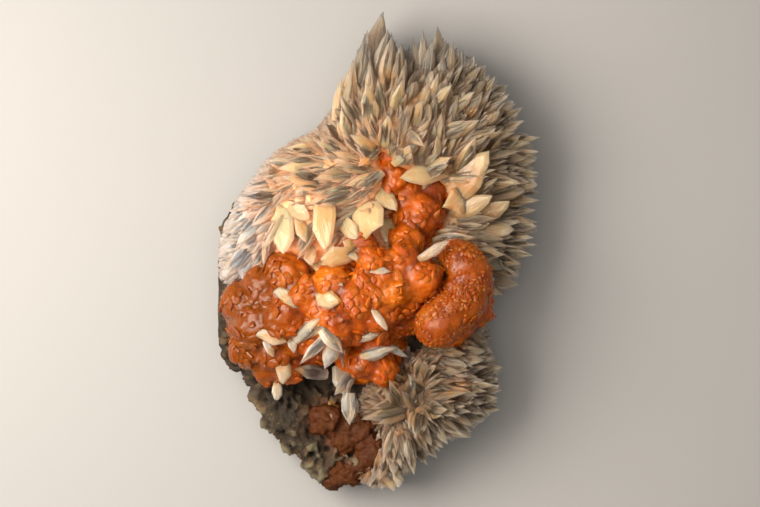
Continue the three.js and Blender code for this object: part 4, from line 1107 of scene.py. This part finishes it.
def pale_crystal_material(name="pale crystal", clearness=0.14, brightness=0.0):
    """Milky crystal that is clearer towards the tips, with fine lines along each blade."""
    made, graph, where = new_material(name)
    tone = graph.attribute("tone")
    along = graph.attribute("along")
    # The crust colour holds painted shade to the right, the top and below, and painted light to the left.
    colour, north = crust_colour(graph, where, tone)
    clouds = graph.noise(where, 150, 3)
    tips, cloudy = (along, 0.45, 1.0, 0.35, BARE_TIP), (clouds, 0.52, 0.72, 0.3, BARE_TIP)
    colour = graph.painted(colour, tips, cloudy)
    # The spire at the top is greyed as painted shade.
    spire = graph.fade(graph.axis(where, "Y"), 0.054, 0.072)
    colour = graph.mix(spire * 0.8, colour, SPIRE_PAINTED_SHADE)
    if brightness:
        colour = graph.mix(brightness, colour, PERCHED_PINK)
    colour = stained(graph, where, colour)
    flat_map = graph.node("ShaderNodeUVMap", {"uv_map": "UVMap"})
    stretched = graph.vector("MULTIPLY", flat_map, (2.6, 0.35, 1.0))
    striae = graph.noise(graph.vector("ADD", stretched, tone * 9.0), 3.0, 5)
    colour = graph.painted(colour, (striae, 0.46, 0.30, 0.2, BLADE_LINE), (striae, 0.55, 0.72, 0.3, BARE_TIP))
    facets = bumped(graph, graph.cells(where, 700), 0.10, 0.5)
    normal = bumped(graph, striae, 0.45, 0.9, facets)
    roughness = graph.fade(striae, 0.3, 0.7) * 0.18 + 0.06
    milky = graph.skin({
        "Base Color": colour, "Roughness": roughness, "Normal": normal, "IOR": 1.6,
        "Specular IOR Level": 0.35, "Subsurface Weight": 0.9, "Subsurface Radius": (1.0, 0.72, 0.50),
        "Subsurface Scale": 0.012,
    })
    glassy = graph.skin({
        "Base Color": graph.mix(0.35, colour, GLASS_WARMTH), "Roughness": roughness * 0.6,
        "Normal": normal, "IOR": 1.6, "Transmission Weight": 0.9,
    })
    clear = graph.fade(along, 0.1, 1.0) * 0.5 + graph.fade(tone, 0.5, 1.0) * 0.5 + north * 0.15
    share = (clear * clearness + spire * 0.35 + 0.03).clipped()
    end_material(graph, graph.node("ShaderNodeMixShader", {}, {0: share, 1: milky, 2: glassy}))
    return made


def crust_ground_material():
    """The milky, fibrous mass that the blades grow from, seen between them."""
    made, graph, where = new_material("crust ground")
    lean = graph.attribute("lean", "Vector")
    along = graph.vector("DOT_PRODUCT", where, lean, out="Value")
    drawn_out = graph.vector("ADD", where, graph.scaled(lean, along * -0.85))
    fibres = graph.noise(drawn_out, 620, 5, 0.65)
    # The crust colour holds painted shade to the right, the top and below, and painted light to the left.
    colour, _ = crust_colour(graph, where, graph.noise(where, 200, 3))
    dark, pale = (fibres, 0.50, 0.36, 0.3, GROUND_FIBRE), (fibres, 0.52, 0.70, 0.5, BARE_TIP)
    colour = graph.painted(colour, dark, pale)
    colour = stained(graph, where, colour)
    normal = bumped(graph, fibres, 0.5, 0.8)
    end_material(graph, graph.skin({
        "Base Color": colour, "Roughness": 0.35, "Normal": normal, "Subsurface Weight": 0.8,
        "Subsurface Radius": (1.0, 0.68, 0.44), "Subsurface Scale": 0.004,
    }))
    return made


def orange_material(name, dark=0.0, scaly=False, dullness=0.0):
    """Glossy, slightly translucent orange, with red-brown painted shade in the creases between the swellings.
    """
    made, graph, where = new_material(name)
    crease = graph.attribute("crease")
    broad = graph.noise(where, 70, 4)
    fine = graph.noise(where, 520, 5)
    cell = graph.cells(where, 430, out="Color")
    colour = graph.ramp(broad, ORANGE_STOPS)
    colour = graph.mix(graph.axis(cell, "X") * 0.2, colour, ORANGE_CELL)
    colour = graph.painted(colour, (fine, 0.55, 0.8, 0.3, ORANGE_GLOW))
    if scaly:
        tone = graph.attribute("tone")
        colour = graph.painted(colour, (tone, 0.7, 1.0, 0.35, PALE_SCALE), (tone, 0.35, 0.0, 0.3, DARK_SCALE))
    # Red-brown painted shade in the creases between the swellings.
    colour = graph.mix((crease * 0.9).clipped(), colour, ORANGE_CREASE_SHADE)
    colour = graph.painted(colour, (graph.axis(where, "X"), -0.020, -0.040, 0.75, ORANGE_LEFT))
    if dark:
        colour = graph.mix(dark, colour, ORANGE_DEEP)
    normal = bumped(graph, graph.cells(where, 620), 0.16, 0.5, bumped(graph, fine, 0.10, 0.6))
    roughness = graph.fade(fine, 0.3, 0.7) * 0.25 + (0.16 + dullness)
    end_material(graph, graph.skin({
        "Base Color": colour, "Roughness": roughness, "Normal": normal, "IOR": 1.5,
        "Specular IOR Level": 0.15 if dullness else 0.30, "Subsurface Weight": 0.1 if dullness else 0.6,
        "Subsurface Radius": (1.0, 0.25, 0.05), "Subsurface Scale": 0.003, "Transmission Weight": 0.15,
    }))
    return made


def rock_material():
    """Grey-brown, porous, broken rock with pale grains and rusty stains, and painted shade in its pits."""
    made, graph, where = new_material("porous rock")
    relief = graph.attribute("relief")
    stain = graph.attribute("stain")
    broad = graph.noise(where, 60, 5, 0.6)
    fine = graph.noise(where, 650, 6, 0.65)
    colour = graph.ramp(broad, ROCK_STOPS)
    colour = graph.painted(colour, (fine, 0.55, 0.72, 0.5, ROCK_CRUMB), (fine, 0.45, 0.30, 0.7, ROCK_CRACK))
    somewhere = graph.fade(graph.noise(where, 180, 2), 0.52, 0.62)
    speck = graph.fade(graph.cells(where, 900), 0.22, 0.10) * somewhere
    colour = graph.mix(speck * 0.5, colour, ROCK_SPECK)
    colour = graph.painted(colour, (graph.noise(where, 90, 4), 0.52, 0.66, 0.35, RUST))
    colour = graph.mix((stain * graph.fade(fine, 0.35, 0.6) * 0.7).clipped(), colour, ROCK_STAIN)
    ledge = graph.fade(graph.axis(where, "Y"), -0.048, -0.062) * 0.6 + 0.25
    # The pits are darkened as painted shade; the raised ledges are paler.
    pits, ledges = (relief, -0.6, -2.6, 0.8, ROCK_PIT_SHADE), (relief, 0.2, 1.8, ledge, ROCK_LEDGE)
    colour = graph.painted(colour, pits, ledges)
    pore = graph.fade(graph.cells(where, 1100), 0.30, 0.12)
    normal = bumped(graph, graph.noise(where, 1500, 6, 0.7), 0.35, 0.9, bumped(graph, 1 - pore, 0.4, 0.8))
    roughness = graph.fade(fine, 0.3, 0.7) * 0.2 + 0.75
    end_material(graph, graph.skin({
        "Base Color": colour, "Roughness": roughness, "Normal": normal,
    }))
    return made


# Pieces

def keep_in_box(piece):
    """Holds the vertices inside the box of the solids."""
    low, high = (np.array(corner) / MM for corner in CAD_BOX)
    set_points(piece, np.clip(points_of(piece), low, high))


def finish_piece(piece, slot, material, *nodes):
    """Stores the stain by the orange growths and the mask of the painted shade in their creases, and gives a
    material and a place.
    """
    keep_in_box(piece)
    at = points_of(piece)
    near, second = orange_gap(at)
    spots = [np.exp(-((at[:, 0] - x) ** 2 + (at[:, 1] - y) ** 2) / (1.25 * r) ** 2) for x, y, r in STAINS]
    give(piece, "stain", np.maximum(np.exp(-np.maximum(near, 0) / STAIN_FADE), np.max(spots, axis=0)))
    give(piece, "crease", np.exp(-np.maximum(second, 0) / CREASE_SHADE_FADE))
    piece.data.materials.clear()
    piece.data.materials.append(material)
    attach(piece, "root")
    if nodes:
        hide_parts(*nodes)
    return piece


def globe(name, around, rows, place):
    bearing, polar, faces = polar_grid(around, rows)
    return mesh_object(name, place(bearing, polar), faces)


def make_rock(material):
    middle = np.array([*ROCK.centre, ROCK.rim])

    def broken(bearing, polar):
        out = ROCK.point(bearing, polar) - middle
        length = np.linalg.norm(out, axis=1)
        out *= (1 + 0.9 * uneven(out[:, 0], out[:, 1], out[:, 2], 2.6) / (8 + length))[:, None]
        for *way, distance in BREAKS:
            reach = out @ (np.array(way) / np.linalg.norm(way))
            out *= np.where(reach > distance, distance / np.maximum(reach, 1e-6), 1)[:, None]
        out[:, 2] = np.maximum(-ROCK.rim, out[:, 2])
        return out + middle

    rock = remeshed(globe("rock_body", 200, 90, broken), ROCK_GRAIN)
    roughen(rock, material, ROCK_LAYERS, ROCK_PITS)
    finish_piece(rock, "rock", material, "matrix_rock")


def sheaves(at, seed):
    """Divides a crust into sheaves of blades: each point's way out of its sheaf, and the sheaf's own luck."""
    luck = np.random.default_rng(seed)
    count = int(np.ptp(at[:, 0]) * np.ptp(at[:, 1]) / SHEAF_SPREAD**2)
    centres = at[luck.integers(0, len(at), count)]
    nearest = np.array([np.argmin(((centres - p) ** 2).sum(axis=1)) for p in at])
    fan = (at - centres[nearest]) / SHEAF_SPREAD
    slant = luck.uniform(-1, 1, (count, 3))[nearest]
    wealth = luck.random(count)[nearest]
    return fan, slant, wealth, luck.random(count)[nearest]


def crust_leans(bed, field, at, calm, fan, slant):
    """The lean of the crystals: fanned out in each sheaf, flatter where calm, and outward at the side."""
    from_centre = at[:, :2] - np.array(bed.centre)
    distance = np.linalg.norm(from_centre, axis=1)
    bearing = np.arctan2(from_centre[:, 1], from_centre[:, 0])
    outward = from_centre / np.maximum(distance, 1e-3)[:, None]
    side = np.clip(distance / bed.reach(bearing), 0, 1) ** 6
    lean = lean_at(field, at) + np.array(FAN_LEAN) * fan + np.array(SLANT_LEAN) * slant
    lean[:, :2] += 0.5 * side[:, None] * outward
    low = np.clip((bed.rim + 6 - at[:, 2]) / 12, 0, 1)
    lean[:, 2] = np.maximum(lean[:, 2] * (0.6 - 0.45 * calm), 0.05) - 0.5 * side * low
    return unit(lean)


def crust_cover(at, lean, calm, deeper):
    """How densely crystals grow: sparser where calm and by the orange growths, none under plates."""
    buried = np.array([orange_height(x, y) for x, y, _ in at]) > at[:, 2] + 1.5
    in_lobe = np.min([np.linalg.norm(at - b[:3], axis=1) - b[3] for b in LOBE_BEADS], axis=0) < 0
    bare = buried | in_lobe | under_plates(at) | (deeper > 1.2) | (at[:, 2] < BARE_BELOW)
    over_orange = np.array([orange_height(x, y) for x, y, _ in at + lean * 8]) > 0
    cover = np.where(over_orange, 0.18, 1 - 0.5 * calm)
    return np.where(bare, 0.0, cover * np.where(under_plates(at + lean * 5), 0.4, 1))


def bed_ground(name, bed, field, seed):
    """The ground of a crust, with the lean, the length and the place of the crystals that grow on it."""
    ground = remeshed(globe(name, 150, 60, bed.point), BED_GRAIN)
    at = points_of(ground)
    calm = np.clip(sum(hill(at[:, 0], at[:, 1], x, y, wide, 1.0) for x, y, wide in CALM), 0, 1)
    deeper = sum(hill(at[:, 0], at[:, 1], x, y, wide, depth) for x, y, wide, depth in POCKET)
    raised = np.clip((at[:, 2] - bed.rim) / 8, 0, 1)
    at[:, 2] -= (GROUND_SINK * (1 - 0.8 * calm) + deeper) * raised
    set_points(ground, at)
    fan, slant, wealth, tone = sheaves(at, seed)
    lean = crust_leans(bed, field, at, calm, fan, slant)
    give(ground, "lean", lean)
    give(ground, "size", (0.75 + 0.45 * wealth) * (1 - 0.35 * calm))
    give(ground, "room", room_for(bed, at, lean, BROAD_BLADES["size"][1] * 1.2))
    give(ground, "sheaf_tone", tone)
    give(ground, "cover", crust_cover(at, lean, calm, deeper))
    return ground


def under_plates(at):
    """Which points lie under the broad plates, seen from above."""
    under = np.zeros(len(at), bool)
    for rx, ry, tx, ty, width, _ in PLATES:
        way = np.array([tx - rx, ty - ry])
        share = np.clip((at[:, :2] - (rx, ry)) @ way / (way @ way), 0, 0.9)
        near = np.array([rx, ry]) + share[:, None] * way
        under |= np.linalg.norm(at[:, :2] - near, axis=1) < 0.42 * width
    return under


class Surface:
    """The top of some finished pieces, found from above."""

    def __init__(self, pieces):
        self.trees = []
        for piece in pieces:
            polygons = [tuple(face.vertices) for face in piece.data.polygons]
            self.trees.append(BVHTree.FromPolygons([v.co for v in piece.data.vertices], polygons))

    def height(self, x, y, otherwise=24.0):
        start, down = Vector((x * MM, y * MM, 0.2)), Vector((0, 0, -1))
        hits = [tree.ray_cast(start, down)[0] for tree in self.trees]
        return max([hit.z / MM for hit in hits if hit], default=otherwise)


def laid(surface, row, lift):
    """The root and the tip of a crystal that lies on a surface and rises by its tilt."""
    rx, ry, tx, ty, _, tilt = row
    base = surface.height(rx, ry) + lift
    rise = math.hypot(tx - rx, ty - ry) * math.tan(math.radians(tilt))
    tip = min(HIGHEST_TIP, max(base + rise, surface.height(tx, ty, 0) + lift))
    return (rx, ry, min(base, HIGHEST_TIP)), (tx, ty, tip)


def copied(piece, name):
    twin = piece.copy()
    twin.data = piece.data.copy()
    twin.name = name
    return linked(twin)


def make_plates(name, surface, rows, material):
    """The broad plates that lie on a crust, each a little above the blades round it."""
    sheaf = Sheaf(len(name))
    for i, row in enumerate(rows):
        root, tip = laid(surface, row, PLATE_LIFT)
        sheaf.add_plate(root, tip, row[4] * 1.1, 0.4 * jitter(i, 3), thickness=0.16)
    finish_piece(sheaf.piece(name), "pale_crystal", material)


def make_crust(side, bed, field, leaves, grow, ground_material, material, blades):
    """A crust: its ground, its own blades, and the layers of small blades that fill the gaps."""
    name, node = side + "_crust", side + "_crystal_crust"
    seed = len(node)
    ground = bed_ground(name + "_ground", bed, field, seed)
    for number, (label, layer) in enumerate(BLADE_LAYERS):
        layer_piece = copied(ground, f"{name}_{label}_blades")
        grow_over(layer_piece, grow, leaves[number], layer, 0.5, seed + number)
        finish_piece(layer_piece, "pale_crystal", material)
    roughen(ground, ground_material, CRUST_LAYERS)
    finish_piece(ground, "pale_crystal", ground_material)
    sheaf = Sheaf(seed + 5)
    blades(sheaf)
    finish_piece(sheaf.piece(name + "_blades"), "pale_crystal", material, node)
    return ground


def upper_blades(sheaf):
    def ground(x, y):
        return UPPER.height(x, y) - 0.4

    def over_orange(x, y):
        return max(ground(x, y), orange_height(x, y))

    placed(sheaf, SPIRE, ground, 11, ragged=0.06)
    placed(sheaf, UPPER_RIM, ground, 13)
    placed(sheaf, [row for row in UPPER_FACE if row not in PLATES], over_orange, 17)
    filled(sheaf, UPPER, UPPER_LEAN, UPPER_FILL, 23)
    side_blades(sheaf, UPPER, -35, 112, 31)


def lower_blades(sheaf):
    def ground(x, y):
        return LOWER.height(x, y) - 0.4

    placed(sheaf, LOWER_RIM, ground, 41)
    placed(sheaf, LOWER_FACE, ground, 43, blades=8, core=0.45)
    filled(sheaf, LOWER, LOWER_LEAN, LOWER_FILL, 47)
    side_blades(sheaf, LOWER, -110, 20, 59)


def lumps_object(name, lumps, cores=()):
    """Overlapping uneven balls as one object, ready to be fused by a remesh."""
    bearing, polar, faces = polar_grid(28, 16)
    way = np.stack([np.sin(polar) * np.cos(bearing), np.sin(polar) * np.sin(bearing), np.cos(polar)], axis=1)
    points, all_faces = [], []
    for i, (x, y, z, rx, ry, rz) in enumerate(rounds(lumps) + list(cores)):
        bumps = 1 + 0.07 * uneven(way[:, 0] * 3 + i, way[:, 1] * 3, way[:, 2] * 3, 1)
        base = len(points) * len(way)
        points.append(np.array([x, y, z]) + way * np.array([rx, ry, rz]) * bumps[:, None])
        all_faces += [tuple(base + k for k in face) for face in faces]
    return mesh_object(name, np.concatenate(points), all_faces)


def bridged(lumps):
    """The lumps with smaller ones between neighbours, so that they run into each other."""
    between_them = []
    for i, (x, y, z, r) in enumerate(lumps):
        for a, b, c, s in lumps[i + 1:]:
            if math.dist((x, y, z), (a, b, c)) < 1.15 * (r + s):
                between_them.append(((x + a) / 2, (y + b) / 2, (z + c) / 2 + 0.3, 0.39 * (r + s)))
    return lumps + between_them


def make_growth(body, material, grain_material, grains, grow, node, seed, scales):
    """An orange growth: the fused body with a rough skin, and the grains that stand on it."""
    remeshed(body, ORANGE_GRAIN, soften=5)
    at = points_of(body)
    normals = np.empty(len(at) * 3, np.float32)
    body.data.vertices.foreach_get("normal", normals)
    normals = normals.reshape(-1, 3)
    give(body, "lean", normals)
    give(body, "size", np.ones(len(at)))
    scaly = np.where(uneven(at[:, 0], at[:, 1], at[:, 2], PATCH_SIZE) > PATCH_EDGE, 1.0, BETWEEN_PATCHES)
    give(body, "cover", np.where(normals[:, 2] > FACES_DOWN, scaly, 0.0))
    give(body, "room", np.full(len(at), SCALE_ROOM))
    if scales:
        skin = copied(body, body.name + "_grains")
        grow_over(skin, grow, grains, scales, 0.0, seed)
        finish_piece(skin, "orange_growth", grain_material)
    roughen(body, material, ORANGE_LAYERS if scales else CRUMBLY_LAYERS)
    return finish_piece(body, "orange_growth", material, node)


def lobe_object():
    """The hooked lobe: beads swept along its line, closed at both ends."""
    bearing, polar, faces = polar_grid(40, 90)
    share = polar / math.pi
    line = lobe_line(share)
    ahead = unit(lobe_line(share + 0.004)[:, :3] - lobe_line(share - 0.004)[:, :3])
    side = unit(np.cross([0, 0, 1], ahead))
    above = np.cross(side, ahead)
    from_end = np.minimum(1, np.minimum(share, 1 - share) / LOBE_CAP)
    swell = np.sqrt(np.maximum(0, 1 - (1 - from_end) ** 2))
    radius = line[:, 3] * swell
    out = side * np.cos(bearing)[:, None] + above * np.sin(bearing)[:, None]
    points = line[:, :3] + out * radius[:, None]
    return mesh_object("orange_lobe_body", points, faces)


def make_perched(name, rows, surface, seed, material):
    """One crystal, or a few grown together, lying on the orange growths."""
    sheaf = Sheaf(seed)
    for i, row in enumerate(rows):
        root, tip = laid(surface, row, PERCHED_LIFT)
        if name in BUNDLED:
            sheaf.add_bundle(root, tip, row[4], 0.5 * jitter(i, seed), blades=5, thickness=0.4)
        else:
            sheaf.add_plate(root, tip, row[4] * 1.12, 0.5 * jitter(i, seed))
    finish_piece(sheaf.piece("perched_" + name + "_leaf"), "perched_crystal", material, "perched_" + name)


def make_floor():
    """A plain pale floor."""
    far = 1500
    corners = [(-far, -far, 0), (far, -far, 0), (far, far, 0), (-far, far, 0)]
    floor = mesh_object("floor", corners, [(0, 1, 2, 3)])
    made, graph, where = new_material("pale floor")
    colour = graph.mix(graph.noise(where, 3, 3), *FLOOR_GREYS)
    end_material(graph, graph.skin({"Base Color": colour, "Roughness": 0.7}))
    floor.data.materials.append(made)


def soft_light(name, place, size, power, colour):
    data = bpy.data.lights.new(name, "AREA")
    data.shape = "SQUARE"
    data.size = size
    data.energy = power
    data.color = colour
    light = linked(bpy.data.objects.new(name, data))
    light.location = place
    light.rotation_euler = (Vector(LIT_POINT) - Vector(place)).to_track_quat("-Z", "Y").to_euler()


def make_light():
    """Soft studio light, most of it from the left."""
    for name, light in LIGHTS.items():
        soft_light(name, *light)
    world = bpy.data.worlds.new("studio")
    world.use_nodes = True
    back = world.node_tree.nodes["Background"]
    back.inputs["Color"].default_value = SKY
    back.inputs["Strength"].default_value = SKY_STRENGTH
    bpy.context.scene.world = world
    bpy.context.scene.view_settings.view_transform = "Standard"


def make_camera():
    """Looks straight down on the specimen, with its length up the picture, at 3 pixels to the millimetre."""
    pixels_wide, pixels_to_mm = 760, 3.0
    middle = (0.67 * MM, -0.5 * MM, 22 * MM)
    data = bpy.data.cameras.new("camera")
    data.lens = 200
    data.sensor_width = 36
    distance = pixels_wide / pixels_to_mm * MM * data.lens / data.sensor_width
    data.clip_start, data.clip_end = 0.05, 20
    camera = linked(bpy.data.objects.new("camera", data))
    camera.location = (middle[0], middle[1], middle[2] + distance)
    bpy.context.scene.camera = camera


def drop_collection(group):
    for piece in list(group.objects):
        bpy.data.objects.remove(piece)
    bpy.data.collections.remove(group)


def build():
    make_floor()
    make_light()
    make_camera()
    pale = pale_crystal_material()
    clear = pale_crystal_material("perched crystal", 0.25, brightness=0.75)
    ground = crust_ground_material()
    orange = orange_material("orange growth")
    grain = orange_material("orange grain", scaly=True)
    lobe_skin = orange_material("orange lobe", dark=0.35)
    lobe_grain = orange_material("orange lobe grain", dark=0.25, scaly=True)
    deep = orange_material("orange floor", dark=0.95, dullness=0.4)
    broad_leaves = leaf_collection("broad_blade", (0.0, 0.35, 0.64, 0.87), blades=2)
    small_leaves = leaf_collection("small_blade", (0.0, 0.60, 0.87), blades=0)
    needles = leaf_collection("needle", (0.0, 0.75), blades=0, slimness=0.55)
    leaves, grains = (broad_leaves, small_leaves, needles), grain_collection()
    grow_leaves = growth_tree("grow blades", pale)
    grow_grains = growth_tree("grow grains", grain)
    make_rock(rock_material())
    grounds = [
        make_crust(side, bed, field, leaves, grow_leaves, ground, pale, blades)
        for side, bed, field, blades in (
            ("upper", UPPER, UPPER_LEAN, upper_blades), ("lower", LOWER, LOWER_LEAN, lower_blades),
        )
    ]
    lumps = lumps_object("orange_mass_body", bridged(ORANGE_LUMPS), ORANGE_CORES)
    mass = make_growth(lumps, orange, grain, grains, grow_grains, "orange_mass", 3, MASS_SCALES)
    lobe = lobe_object()
    make_growth(lobe, lobe_skin, lobe_grain, grains, grow_grains, "orange_lobe", 5, LOBE_SCALES)
    lumps = lumps_object("orange_floor_body", bridged(FLOOR_LUMPS))
    low = make_growth(lumps, deep, None, grains, grow_grains, "orange_floor", 9, None)
    surface = Surface(grounds + [mass, lobe, low])
    make_plates("upper_crust_plates", surface, PLATES, pale)
    for i, (name, rows) in enumerate(PERCHED.items()):
        make_perched(name, rows, surface, 70 + i, clear)
    for group in (broad_leaves, small_leaves, needles, grains):
        drop_collection(group)


build()
